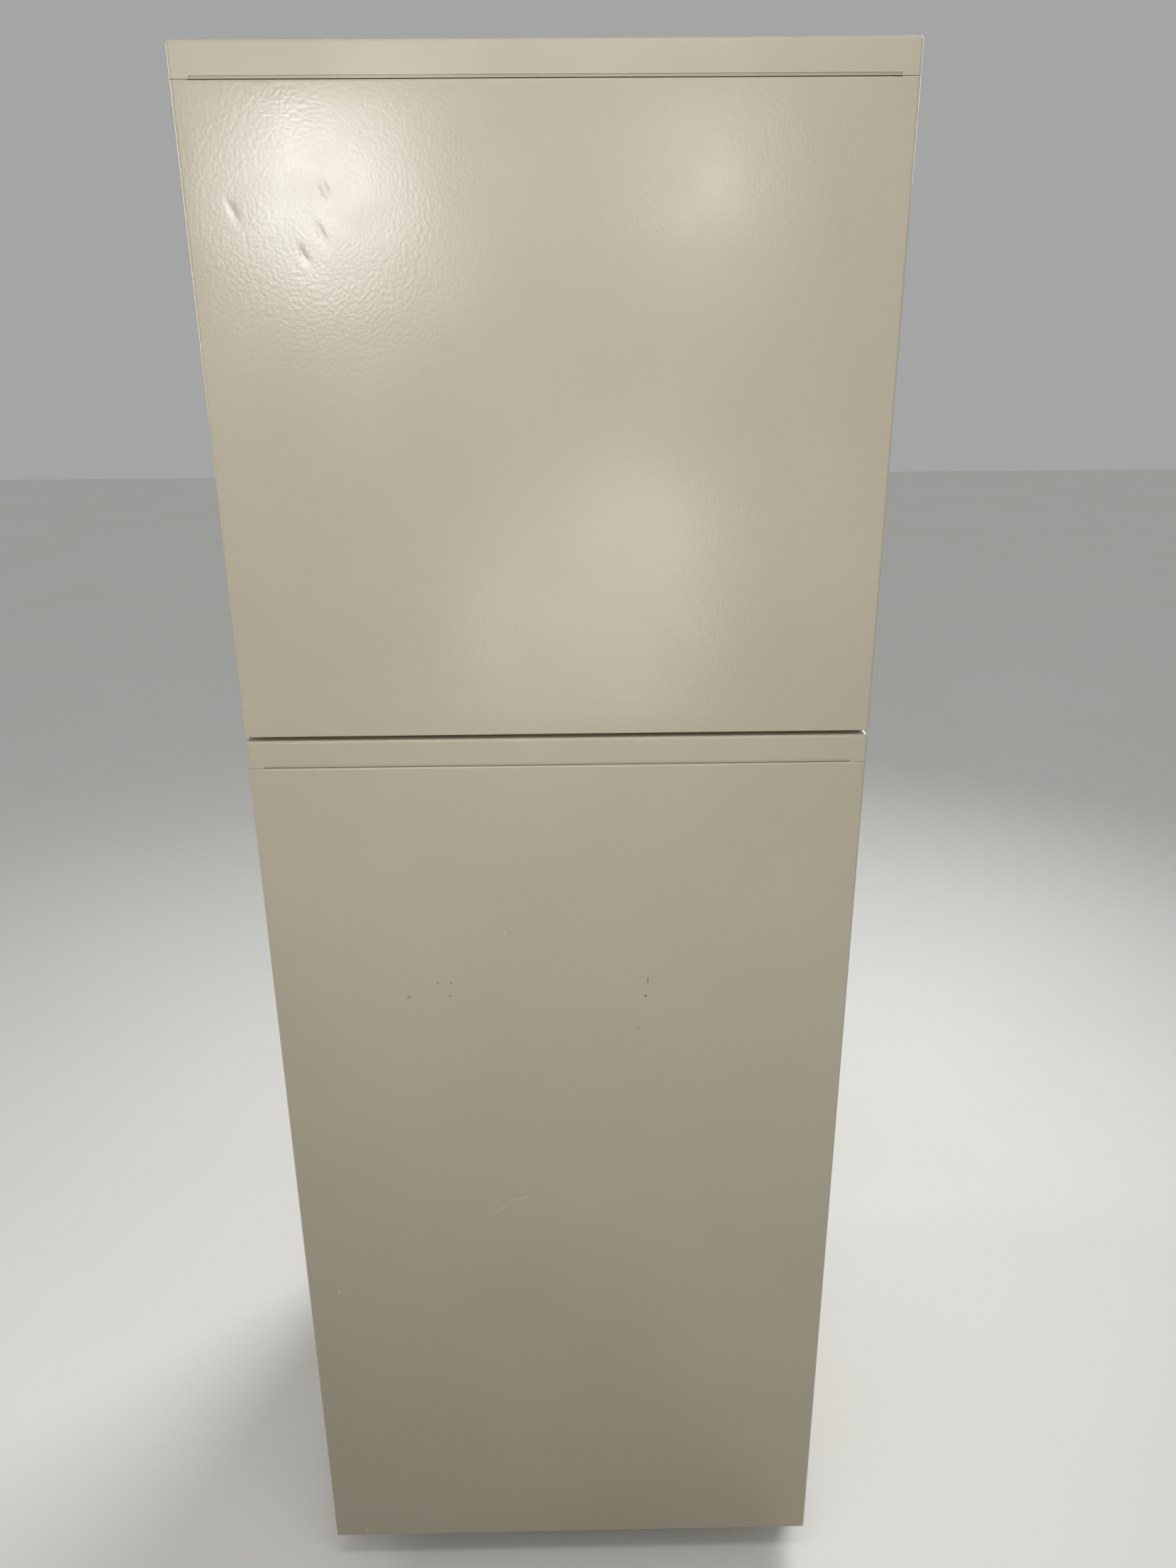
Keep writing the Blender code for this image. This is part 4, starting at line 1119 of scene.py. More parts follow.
@dataclass
class Door:
    """One door: folded steel skin, moulded caps, formed liner, seal and grip.

    Attributes:
        label: "fridge" or "freezer", as in the node names.
        body: The body that it moves with.
        dents: Dings in its skin.
        groove_end: Half the length of the groove under its top cap.
        groove: Height of that groove.
        groove_depth: How far the groove goes in.
        mesh_pitch: Spacing of the skin's grid, on which the sheet's waviness and its dents are drawn.
        waviness: How far the sheet sinks between its flattest and its deepest places.
        foot_radius: Of the bottom tray's lower edges.
        frame_radius: Of the bends in the liner's raised frame.
        frame_corner: Of that frame's corners, seen from the front.
        frame_x: Half that frame's width.
        frame_band: Width of its band.
    """

    label: str
    body: Body
    dents: tuple[Dent, ...] = ()
    groove_end: float = 0.284
    groove: float = 2.2 * MM
    groove_depth: float = 1.4 * MM
    mesh_pitch: float = 12 * MM
    waviness: float = 0.22 * MM
    foot_radius: float = 2.5 * MM
    frame_radius: float = 5 * MM
    frame_corner: float = 14 * MM
    frame_x: float = 0.240
    frame_band: float = 25 * MM
    low: Vector = field(init=False)
    high: Vector = field(init=False)

    def __post_init__(self) -> None:
        """Reads the skin's box."""
        self.low, self.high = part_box(f"{self.label}_door_skin")

    def node(self, part: str) -> str:
        """The name of one of this door's nodes."""
        return f"{self.label}_door_{part}"

    def build(self) -> None:
        """Makes every piece of the door."""
        self.make_skin()
        self.make_top_cap()
        self.make_liner()
        self.make_gasket()
        self.make_grip()
        self.make_plug()
        self.make_bottom_cap()
        self.make_foam()

    def make_skin(self) -> None:
        """One sheet folded round both sides, hemmed above, below and at the rear, with its waves and dings."""
        low, high = self.low, self.high
        work = Workpiece().block(low, high)
        work.hem(lambda f: abs(f.normal.z) > 0.9, 9 * MM)
        work.hem(lambda f: f.normal.y > 0.9, 11 * MM)

        def on_front(edge: bmesh.types.BMEdge) -> bool:
            """Whether an edge lies in the door's front."""
            return near(middle(edge).y, low.y)

        def is_corner(edge: bmesh.types.BMEdge) -> bool:
            """Whether an edge is one of the front's upright ones."""
            return on_front(edge) and runs_along(edge, Axis.Z) and near(abs(middle(edge).x), high.x)

        def over_groove(edge: bmesh.types.BMEdge) -> bool:
            """Whether an edge is the front's upper one, where the groove is."""
            return on_front(edge) and near(middle(edge).z, high.z) and abs(middle(edge).x) < self.groove_end

        work.round_edges(is_corner, EDGE_RADIUS, 5)
        work.slice(Axis.X, (-self.groove_end, self.groove_end))
        work.round_edges(over_groove, 2.0 * MM, 4)
        work.round_edges(lambda e: on_front(e) and near(middle(e).z, low.z), 1.2 * MM, 3)
        grip_low, grip_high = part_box(self.node("grip"))
        work.slice(Axis.Y, (grip_low.y - GAP, grip_high.y + GAP))
        work.slice(Axis.Z, (grip_low.z - GAP, grip_high.z + GAP))

        def in_window(face: bmesh.types.BMFace) -> bool:
            """Whether a face lies where the grip is let in."""
            spot = face.calc_center_median()
            return (
                near(spot.x, low.x)
                and grip_low.y - GAP < spot.y < grip_high.y + GAP
                and grip_low.z - GAP < spot.z < grip_high.z + GAP
            )

        work.open(in_window)
        margin = 6 * MM  # keeps the grid off the folded edges
        work.slice(Axis.X, steps(low.x + margin, high.x - margin, self.mesh_pitch))
        work.slice(Axis.Z, steps(low.z + margin, high.z - margin, self.mesh_pitch))
        for reach in (3.2, 2.4):
            self.refine(work, reach)
        self.shape_sheet(work)
        work.finish(
            self.node("skin_sheet"),
            DOOR_PAINT,
            self.body,
            Slot.DOOR_PAINT,
            [self.node("skin")],
            wall=SHEET,
            crease=50,
        )

    def refine(self, work: Workpiece, reach: float) -> None:
        """Divides the front's grid round its dents.

        Args:
            work: The skin.
            reach: How far out, in radii of the dent.
        """

        def by_dent(spot: Vector) -> bool:
            """Whether a place on the sheet is near any dent."""
            return any(hypot(spot.x - dent.x, spot.z - dent.z) < reach * dent.radius for dent in self.dents)

        chosen = [e for e in work.bm.edges if near(middle(e).y, self.low.y) and by_dent(middle(e))]
        bmesh.ops.subdivide_edges(work.bm, edges=chosen, cuts=3, use_grid_fill=True)

    def shape_sheet(self, work: Workpiece) -> None:
        """Lets the front sink in long shallow waves that fade out at its edges, and presses its dings.

        Args:
            work: The skin.
        """
        margin, fade = 6 * MM, 40 * MM
        for vert in work.bm.verts:
            x, y, z = vert.co
            if not near(y, self.low.y):
                continue
            to_edge = min(x - self.low.x, self.high.x - x, z - self.low.z, self.high.z - z)
            share = min(1.0, max(0.0, (to_edge - margin) / fade))
            long_wave = noise.noise(Vector((x * 4.2, 7.0, z * 3.1)))
            short_wave = noise.noise(Vector((x * 9, 3.0, z * 8)))
            wave = long_wave + 0.4 * short_wave
            sink = self.waviness * share * (0.5 + 0.5 * wave)
            for dent in self.dents:
                sink += dent.sink(x, z)
            vert.co.y = y + max(0.0, sink)

    def make_top_cap(self) -> None:
        """The moulding along the door's top. Its front stops short above the groove, but for its two ends."""
        low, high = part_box(self.node("top_cap"))

        def section(x: float, notch: float) -> list[Point]:
            """The cap's outline across X, with its front let in above the groove.

            Args:
                x: Where the outline is.
                notch: How far the groove goes in there.

            Returns:
                The outline's corners.
            """
            step = low.z + self.groove
            foot = low.z if notch else low.z - 0.2 * MM
            return [
                (x, low.y, high.z),
                (x, low.y, step),
                (x, low.y + notch, step),
                (x, low.y + notch, foot),
                (x, high.y, foot),
                (x, high.y, high.z),
            ]

        end, deep = self.groove_end, self.groove_depth
        stations = [(low.x, 0.0), (-end, 0.0), (-end, deep), (end, deep), (end, 0.0), (high.x, 0.0)]
        work = Workpiece().loft([section(x, notch) for x, notch in stations])

        def is_outer(edge: bmesh.types.BMEdge) -> bool:
            """Whether an edge is an upright corner or on the upper rim."""
            spot = middle(edge)
            if runs_along(edge, Axis.Z) and near(abs(spot.x), high.x):
                return True
            at_side = near(abs(spot.x), high.x) or near(spot.y, low.y) or near(spot.y, high.y)
            return lies_at(edge, Axis.Z, high.z) and at_side

        work.round_edges(is_outer, EDGE_RADIUS, 5)
        work.finish(
            self.node("top_moulding"), CAP_PLASTIC, self.body, Slot.CAP_PLASTIC, [self.node("top_cap")], crease=50
        )

    def make_bottom_cap(self) -> None:
        """The tray that closes the door's lower end inside its skin, with the bush for the hinge pin."""
        low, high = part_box(self.node("bottom_cap"))
        foot, wall, bottom = self.foot_radius, 2 * MM, low.z + SHEET + GAP
        turn = [radians(angle) for angle in (0, 18, 36, 54, 72, 90)]
        outer = [(foot * (1 - cos(angle)), bottom + foot * (1 - sin(angle))) for angle in turn]
        inner = [(foot, bottom + wall), (wall, bottom + foot), (wall, high.z), (0, high.z)]
        radius = EDGE_RADIUS - SHEET
        work = Workpiece().terrace(Axis.Z, (low.x, low.y), (high.x, high.y), inner + outer, radius, first=True)
        hole = 5 * MM
        window = ((HINGE_X - hole, HINGE_X + hole), (HINGE_Y - hole, HINGE_Y + hole))
        punch(work, (Axis.X, Axis.Y), [window])
        rims = [e for e in work.bm.edges if e.is_boundary]
        bmesh.ops.bridge_loops(work.bm, edges=rims)
        bmesh.ops.recalc_face_normals(work.bm, faces=list(work.bm.faces))
        work.finish(
            self.node("bottom_tray"),
            CAP_PLASTIC,
            self.body,
            Slot.CAP_PLASTIC,
            [self.node("bottom_cap")],
            crease=50,
        )
        bush = [(4.6, 0), (7.6, 0), (8.4, 0.5), (8.4, 17), (4.6, 17), (4.6, 0)]
        foot_of_bush = (HINGE_X, HINGE_Y, low.z)
        pin_bush = Workpiece().turn(in_mm(bush), foot_of_bush, (0, 0, 1), 32)
        pin_bush.finish(self.node("hinge_bush"), CAP_PLASTIC, self.body, Slot.CAP_PLASTIC)

    def make_plug(self) -> None:
        """The blanking plug over the unused hinge hole at the other end of the top cap."""
        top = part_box(self.node("top_cap"))[1].z
        work = Workpiece()
        dome = [(0, -2), (8, -2), (8, 0.2), (7.2, 0.7), (3, 0.9), (0, 0.9)]
        work.turn(in_mm(dome), (-HINGE_X + 2 * MM, HINGE_Y, top), (0, 0, 1))
        work.finish(self.node("hinge_plug"), CAP_PLASTIC, self.body, Slot.CAP_PLASTIC)

    def make_liner(self) -> None:
        """The formed inner skin: flange, raised frame and a pan for the bins."""
        low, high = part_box(self.node("liner"))
        face, top, floor = self.high.y + GAP + LINER, high.y, low.y + LINER
        frame_z = self.frame_limits()
        work = Workpiece()
        frame_low, frame_high = (-self.frame_x, frame_z[0]), (self.frame_x, frame_z[1])
        band, draft = self.frame_band, 1.5 * MM
        work.terrace(
            Axis.Y,
            frame_low,
            frame_high,
            [(0, face), (draft, top), (band - draft, top), (band, floor)],
            self.frame_corner,
            self.frame_radius,
        )
        rim = outline(frame_low, frame_high, self.frame_corner)
        edge = outline((low.x, low.z), (high.x, high.z), 4 * MM)
        work.loft([[(x, face, z) for x, z in edge], [(x, face, z) for x, z in rim]], False, False)
        bmesh.ops.remove_doubles(work.bm, verts=work.bm.verts, dist=0.01 * MM)
        work.face_out((0, 1, 0))
        work.finish(
            self.node("inner_skin"),
            LINER_WHITE,
            self.body,
            Slot.LINER_WHITE,
            [self.node("liner")],
            wall=LINER,
            crease=50,
        )

    def frame_limits(self) -> tuple[float, float]:
        """Lower and upper edge of the liner's raised frame."""
        return {"fridge": (0.112, 1.085), "freezer": (1.172, 1.645)}[self.label]

    def make_foam(self) -> None:
        """Foam between skin and liner, hollowed for pan and grip, with a ridge inside the raised frame."""
        low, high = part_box(self.node("foam"))
        liner_low, liner_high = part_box(self.node("liner"))
        grip_low, grip_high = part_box(self.node("grip"))
        rear, band = self.high.y - SHEET - GAP, self.frame_band
        below, above = self.frame_limits()
        slack = band - LINER - GAP
        work = Workpiece().block(low, (high.x, rear, high.z))
        work.slice(Axis.X, (slack - self.frame_x, self.frame_x - slack))
        work.slice(Axis.Y, (grip_low.y - GAP, grip_high.y + GAP))
        work.slice(Axis.Z, (below + slack, above - slack, grip_low.z - GAP, grip_high.z + GAP))

        def in_pan(face: bmesh.types.BMFace) -> bool:
            """Whether a face lies where the pan is."""
            spot = face.calc_center_median()
            across = abs(spot.x) < self.frame_x - slack
            return near(spot.y, rear) and across and below + slack < spot.z < above - slack

        def at_grip(face: bmesh.types.BMFace) -> bool:
            """Whether a face lies where the grip is."""
            spot = face.calc_center_median()
            between = grip_low.y < spot.y < grip_high.y and grip_low.z < spot.z < grip_high.z
            return near(spot.x, low.x) and between

        work.push(in_pan, 0.0, (0, liner_low.y - GAP - rear, 0))
        work.push(at_grip, 0.0, (grip_high.x + GAP - low.x, 0, 0))
        base, top = rear - 4 * MM, liner_high.y
        side, shoulder, crown = 3 * MM, 4 * MM, 7 * MM
        ridge = [(side, base), (shoulder, top - 5 * MM), (crown, top - 2.5 * MM)]
        ridge += [(band - inset, place) for inset, place in reversed(ridge)]
        frame_low, frame_high = (-self.frame_x, below), (self.frame_x, above)
        work.terrace(Axis.Y, frame_low, frame_high, ridge, self.frame_corner, last=False)
        work.finish(self.node("foam_fill"), PU_FOAM, self.body, Slot.FOAM, [self.node("foam")])

    def make_gasket(self) -> None:
        """The seal: a foot in the liner, a bellows and a magnet pocket, mitred at the corners."""
        low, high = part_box(self.node("gasket"))
        depth, width = high.y - low.y, 12 * MM
        left = [(0.06, 1.0), (0.0, 0.92), (0.0, 0.60), (0.10, 0.52), (0.06, 0.42), (0.30, 0.22), (0.12, 0.16)]
        right_side = [(0.12, 0.0), (0.88, 0.0), (0.88, 0.16), (0.70, 0.22), (0.94, 0.42), (0.90, 0.52)]
        section = [*right_side, (1.0, 0.60), (1.0, 0.92), (0.94, 1.0), *left]

        def corner(right: int, up: int) -> list[Point]:
            """The seal's section at a mitre.

            Args:
                right: 1 at the right, 0 at the left.
                up: 1 above, 0 below.

            Returns:
                The section's points.
            """
            x, z = (high.x if right else low.x), (high.z if up else low.z)
            inward_x, inward_z = (-1 if right else 1), (-1 if up else 1)
            return [(x + inward_x * u * width, low.y + v * depth, z + inward_z * u * width) for u, v in section]

        loops = [corner(0, 0), corner(1, 0), corner(1, 1), corner(0, 1), corner(0, 0)]
        work = Workpiece().loft(loops, first=False, last=False)
        work.finish(self.node("seal"), GASKET_PVC, self.body, Slot.GASKET, [self.node("gasket")], crease=25)

    def make_grip(self) -> None:
        """The finger pocket let into the left edge: a flush rim round a rounded hollow."""
        low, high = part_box(self.node("grip"))
        deep = high.x - 1.5 * MM
        work = Workpiece().terrace(
            Axis.X,
            (low.y, low.z),
            (high.y, high.z),
            [(0, low.x), (1.6 * MM, low.x), (2.2 * MM, low.x + 3 * MM), (3.5 * MM, deep)],
            9 * MM,
            1.4 * MM,
        )
        work.face_out((-1, 0, 0))
        work.finish(
            self.node("finger_pocket"),
            GRIP_PLASTIC,
            self.body,
            Slot.GRIP_PLASTIC,
            [self.node("grip")],
            wall=1.3 * MM,
            crease=50,
        )


def make_bin(node: str, body: Body, finish: Finish, radius: float, wall: float) -> None:
    """A moulded open box with a bead round its rim, drafted towards its floor.

    Args:
        node: The CAD node that it stands for.
        body: What it moves with.
        finish: Its material.
        radius: Of its upright corners.
        wall: Its thickness.
    """
    low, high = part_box(node)
    bead, step, draft = 6 * MM, 1.2 * MM, 2.6 * MM
    profile = [(0, high.z), (0, high.z - bead), (step, high.z - bead - step), (step + draft, low.z)]
    work = Workpiece().terrace(Axis.Z, (low.x, low.y), (high.x, high.y), profile, radius, last=True)
    work.round_edges(lambda e: lies_at(e, Axis.Z, low.z), 4 * MM, 4)
    work.face_out((0, 0, -1))
    work.finish(f"{node}_moulding", finish, body, Slot.BIN_CLEAR, [node], wall=wall, crease=50)


@dataclass
class DoorFittings:
    """The bins in both doors, and the flap over the topmost one.

    Attributes:
        flap_half: Half the flap's width.
        flap_pivot: The flap's axis, in Y and Z.
        flap_foot: Level of the flap's lower edge.
        pin: Radius of the flap's pins.
    """

    flap_half: float = 0.206
    flap_pivot: tuple[float, float] = (-0.243, 1.029)
    flap_foot: float = 0.929
    pin: float = 2.5 * MM

    def build(self) -> None:
        """Makes the bins and the flap."""
        for name in ("fridge_bin_upper", "fridge_bin_middle", "fridge_bin_lower"):
            make_bin(name, Body.FRIDGE_DOOR, BIN_CLEAR, 12 * MM, 2.0 * MM)
        make_bin("freezer_bin", Body.FREEZER_DOOR, BIN_CLEAR, 12 * MM, 2.0 * MM)
        self.make_flap()

    def make_flap(self) -> None:
        """A bent clear sheet with a pull along its lower edge, and its two stub pins."""
        y, z = self.flap_pivot
        front, half = -0.1865, self.flap_half
        side = rounded_route([(-half, y - 2.5 * MM, z), (-half, front, z), (-half, front, self.flap_foot)], 14 * MM)
        work = Workpiece()
        verts = [work.bm.verts.new(p) for p in side]
        edges = [work.bm.edges.new(pair) for pair in zip(verts, verts[1:])]
        made = bmesh.ops.extrude_edge_only(work.bm, edges=edges)["geom"]
        far = [g for g in made if isinstance(g, bmesh.types.BMVert)]
        bmesh.ops.translate(work.bm, vec=(2 * half, 0, 0), verts=far)
        work.face_out((0, 1, 1))
        work.finish(
            "dairy_flap_sheet", BIN_CLEAR, Body.FLAP, Slot.BIN_CLEAR, ["dairy_flap"], wall=1.6 * MM, crease=50
        )
        pins = Workpiece()
        for end in (-1, 1):
            pins.rod((end * (half - 4 * MM), y, z - 1 * MM), (end * 0.2157, y, z - 1 * MM), self.pin, 20)
        pull = (-40 * MM, front - 0.5 * MM, self.flap_foot), (40 * MM, front + 7.5 * MM, self.flap_foot + 3 * MM)
        pins.rounded_block(*pull, 1.2 * MM)
        pins.finish("dairy_flap_pull", BIN_CLEAR, Body.FLAP, Slot.BIN_CLEAR)


# --- Cabinet ------------------------------------------------------------------------------------------------
def punch(work: Workpiece, axes: tuple[Axis, Axis], holes: Iterable[tuple[Point, Point]]) -> None:
    """Opens rectangular holes in a flat sheet.

    Args:
        work: The sheet.
        axes: The two axes that the sheet lies along.
        holes: Limits of each hole along those axes.
    """
    holes = list(holes)
    u, v = (axis.value for axis in axes)
    for axis, index in zip(axes, (0, 1)):
        work.slice(axis, sorted({round(place, 6) for hole in holes for place in hole[index]}))

    def in_hole(face: bmesh.types.BMFace) -> bool:
        """Whether a face lies in any hole."""
        spot = face.calc_center_median()
        return any(a[0] < spot[u] < a[1] and b[0] < spot[v] < b[1] for a, b in holes)

    work.open(in_hole)


@dataclass
class Cabinet:
    """The steel wrapper, back panel, rail, liners, base plate, kick plate and hinges.

    Attributes:
        lip: Width of the wrapper's face at its sides.
        brow: Its width along the top.
        fold: Radius of its bends.
        liner_x: Half the width between the liners' walls.
        liner_front: Plane of the liners' flanges.
        liner_rear: Plane of their rear walls.
        freezer: Floor and ceiling of the freezer.
        fridge: Floor and ceiling of the fridge.
        hump: Where the fridge's floor steps up, in Y and Z.
        waviness: How far the side sheets sink.
        shelf_levels: Undersides of the fridge's shelves.
    """

    lip: float = 38 * MM
    brow: float = 47.5 * MM
    fold: float = 2 * MM
    liner_x: float = 0.2485
    liner_front: float = -0.256
    liner_rear: float = 0.2285
    freezer: tuple[float, float] = (1.1615, 1.6535)
    fridge: tuple[float, float] = (0.100, 1.0985)
    hump: tuple[float, float] = (0.0665, 0.260)
    waviness: float = 0.2 * MM
    shelf_levels: tuple[float, ...] = (0.800, 0.560, 0.302)

    def build(self) -> None:
        """Makes every piece of the cabinet."""
        self.make_wrapper()
        self.make_back()
        self.make_rail()
        self.make_freezer_liner()
        self.make_fridge_liner()
        self.make_ledges()
        self.make_hinges()
        dress("insulation_foam", PU_FOAM)
        dress("base_frame", GALVANISED)
        dress("kick_plate", GRIP_PLASTIC)

    def make_wrapper(self) -> None:
        """One sheet bent over the sides and the top, with its face folded in round the mouth."""
        low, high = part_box("cabinet_wrapper")
        work = Workpiece().block(low, high)
        work.open(lambda f: f.normal.y > 0.9 or f.normal.z < -0.9)
        mouth = high.x - self.lip
        work.slice(Axis.X, (-mouth, mouth)).slice(Axis.Z, (high.z - self.brow,))

        def in_mouth(face: bmesh.types.BMFace) -> bool:
            """Whether a face lies in the cabinet's open front."""
            spot = face.calc_center_median()
            return near(spot.y, low.y) and abs(spot.x) < mouth and spot.z < high.z - self.brow

        work.open(in_mouth)

        def is_fold(edge: bmesh.types.BMEdge) -> bool:
            """Whether the sheet is bent along an edge."""
            spot = middle(edge)
            on_side, on_top, on_face = near(abs(spot.x), high.x), near(spot.z, high.z), near(spot.y, low.y)
            return (
                (runs_along(edge, Axis.Y) and on_side and on_top)
                or (on_face and on_side and runs_along(edge, Axis.Z))
                or (on_face and on_top)
            )

        work.round_edges(is_fold, self.fold, 4)
        margin, fade, pitch = 8 * MM, 60 * MM, 30 * MM
        work.slice(Axis.Y, steps(low.y + margin, high.y, pitch))
        work.slice(Axis.Z, steps(low.z, high.z - margin, pitch))
        for vert in work.bm.verts:
            x, y, z = vert.co
            if not near(abs(x), high.x):
                continue
            to_edge = min(y - low.y, high.y - y, z - low.z, high.z - z)
            share = min(1.0, max(0.0, (to_edge - margin) / fade))
            wave = noise.noise(Vector((x * 9, y * 4.0, z * 2.6)))
            vert.co.x -= (1 if x > 0 else -1) * self.waviness * share * max(0.0, 0.5 + wave)
        work.finish(
            "cabinet_sheet",
            CABINET_PAINT,
            Body.CABINET,
            Slot.CABINET_PAINT,
            ["cabinet_wrapper"],
            wall=SHEET,
            crease=50,
        )

    def make_back(self) -> None:
        """The rear sheet, its screws, and the sheet that lines the compressor's bay."""
        low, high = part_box("back_panel")
        work = Workpiece().rounded_block(low, high, 0.3 * MM, 2)
        work.slice(Axis.X, steps(low.x, high.x, 60 * MM)).slice(Axis.Z, steps(low.z, high.z, 60 * MM))
        work.finish("rear_sheet", GALVANISED, Body.CABINET, Slot.ZINC_STEEL, ["back_panel"])
        screws = Workpiece()
        places = [(side * 0.288, z) for side in (-1, 1) for z in (0.230, 0.600, 0.970, 1.340, 1.700)]
        places += [(x, z) for x in (-0.1, 0.1) for z in (0.228, 1.703)]
        places += [(side * 0.158, z) for side in (-1, 1) for z in (1.592, 0.268)]
        for x, z in places:
            Screw((x, high.y, z), (0, 1, 0), 3.6 * MM).add_to(screws)
        screws.finish("rear_screws", ZINC_PLATE, Body.CABINET, Slot.ZINC_STEEL)
        bay = Workpiece()
        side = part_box("insulation_foam")[1].x - 1 * MM
        bay.block((-side, 0.1101, 0.2144), (side, 0.2830, 0.2149))
        bay.block((-side, 0.1103, 0.0290), (side, 0.1109, 0.2142))
        bay.finish("compressor_bay_lining", GALVANISED, Body.CABINET, Slot.ZINC_STEEL)

    def make_rail(self) -> None:
        """The strip between the two mouths."""
        low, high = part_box("mullion_rail")
        rail = Workpiece().rounded_block(low, high, 0.3 * MM, 2)
        rail.finish("rail_strip", CABINET_PAINT, Body.CABINET, Slot.CABINET_PAINT, ["mullion_rail"])

    def flange(self, node: str) -> tuple[Point, Point]:
        """Lowest and highest corner of a liner's flange, in X and Z."""
        low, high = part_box(node)
        return (low.x, low.z), (high.x, high.z)

    def make_freezer_liner(self) -> None:
        """The freezer's formed box: a flange, a rounded mouth, and coved corners."""
        low, high = (-self.liner_x, self.freezer[0]), (self.liner_x, self.freezer[1])
        corner, fold = 9 * MM, 4 * MM
        mouth, end = self.liner_front, self.liner_rear
        profile = [(-1.1 * fold, mouth, 0), (0, mouth, 0), (0, end, 0), (corner, end, 0)]
        loops = [[(x, mouth, z) for x, z in outline(*self.flange("freezer_liner"), 2 * MM)]]
        for inset, place, _ in rounded_route(profile, fold, 4):
            inner, outer = [c + inset for c in low], [c - inset for c in high]
            loops.append([(x, place, z) for x, z in outline(inner, outer, max(corner - inset, corner / 3))])
        work = Workpiece().loft(loops, first=False)
        work.face_out((0, -1, 0))
        work.finish(
            "freezer_inner_box", LINER_WHITE, Body.CABINET, Slot.LINER_WHITE, ["freezer_liner"], wall=LINER, crease=50
        )

    def make_fridge_liner(self) -> None:
        """The fridge's formed box, whose floor steps over the compressor's bay."""
        front, rear, (floor, ceiling) = self.liner_front, self.liner_rear, self.fridge
        step_y, step_z = self.hump
        side = [(front, floor), (step_y, floor), (step_y, step_z), (rear, step_z), (rear, ceiling), (front, ceiling)]
        work = Workpiece().loft([[(x, y, z) for y, z in side] for x in (-self.liner_x, self.liner_x)])
        work.open(lambda f: near(f.calc_center_median().y, front))
        work.round_edges(lambda e: len(e.link_faces) == 2, 7 * MM, 4)
        reach = 7.1 * MM  # just past that rounding
        mouth = [e for e in work.bm.edges if len(e.link_faces) == 1]
        made = bmesh.ops.extrude_edge_only(work.bm, edges=mouth)["geom"]
        (low_x, low_z), (high_x, high_z) = self.flange("fridge_liner")
        for vert in (g for g in made if isinstance(g, bmesh.types.BMVert)):
            to_side = abs(vert.co.x) > self.liner_x - reach
            to_end = vert.co.z < floor + reach or vert.co.z > ceiling - reach
            if to_side:
                vert.co.x = high_x if vert.co.x > 0 else low_x
            if to_end:
                vert.co.z = high_z if vert.co.z > 0.5 else low_z
        bmesh.ops.remove_doubles(work.bm, verts=work.bm.verts, dist=0.01 * MM)
        work.face_out((0, -1, 0))
        work.finish(
            "fridge_inner_box", LINER_WHITE, Body.CABINET, Slot.LINER_WHITE, ["fridge_liner"], wall=LINER, crease=50
        )

    def make_ledges(self) -> None:
        """The ribs on the liners' walls that carry the shelves."""
        work = Workpiece()
        levels = [(level, self.liner_rear - 8 * MM) for level in self.shelf_levels]
        for level, rear in [*levels, (1.395, 0.147)]:
            for side in (-1, 1):
                x = sorted((side * 0.2405, side * (self.liner_x + 0.5 * MM)))
                work.rounded_block((x[0], -0.153, level - 6.3 * MM), (x[1], rear, level - GAP), 1.8 * MM, 3)
        work.finish("shelf_ledges", LINER_WHITE, Body.CABINET, Slot.LINER_WHITE)

    def make_hinges(self) -> None:
        """The three hinges' finish, their screws and the cover over the upper one."""
        for name in ("top_hinge", "middle_hinge", "bottom_hinge"):
            dress(name, ZINC_PLATE)
        screws = Workpiece()
        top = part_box("top_hinge")[1].z
        for x, y in ((0.2535, -0.185), (0.2535, -0.222), (0.283, -0.185)):
            Screw((x, y, top - 0.1 * MM), (0, 0, 1), 4.2 * MM, True).add_to(screws)
        for name, rise in (("middle_hinge", 18 * MM), ("bottom_hinge", 8.5 * MM)):
            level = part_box(name)[0].z + rise
            Screw((0.2635, -0.2583, level), (0, -1, 0), 3 * MM).add_to(screws)
        screws.finish("hinge_screws", ZINC_PLATE, Body.CABINET, Slot.ZINC_STEEL)
        low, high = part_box("top_hinge_cover")
        work = Workpiece().terrace(
            Axis.Z,
            (low.x, low.y),
            (high.x, high.y),
            [(0, low.z), (0.5 * MM, high.z - 3 * MM), (2.5 * MM, high.z), (8 * MM, high.z)],
            7 * MM,
            1.6 * MM,
        )
        for vert in work.bm.verts:
            ahead = max(0.0, -0.232 - vert.co.y)
            vert.co.z -= 0.18 * ahead * (vert.co.z - low.z) / (high.z - low.z)
        work.face_out((0, 0, 1))
        work.finish(
            "hinge_cover_moulding",
            CAP_PLASTIC,
            Body.CABINET,
            Slot.CAP_PLASTIC,
            ["top_hinge_cover"],
            wall=1.5 * MM,
            crease=45,
        )


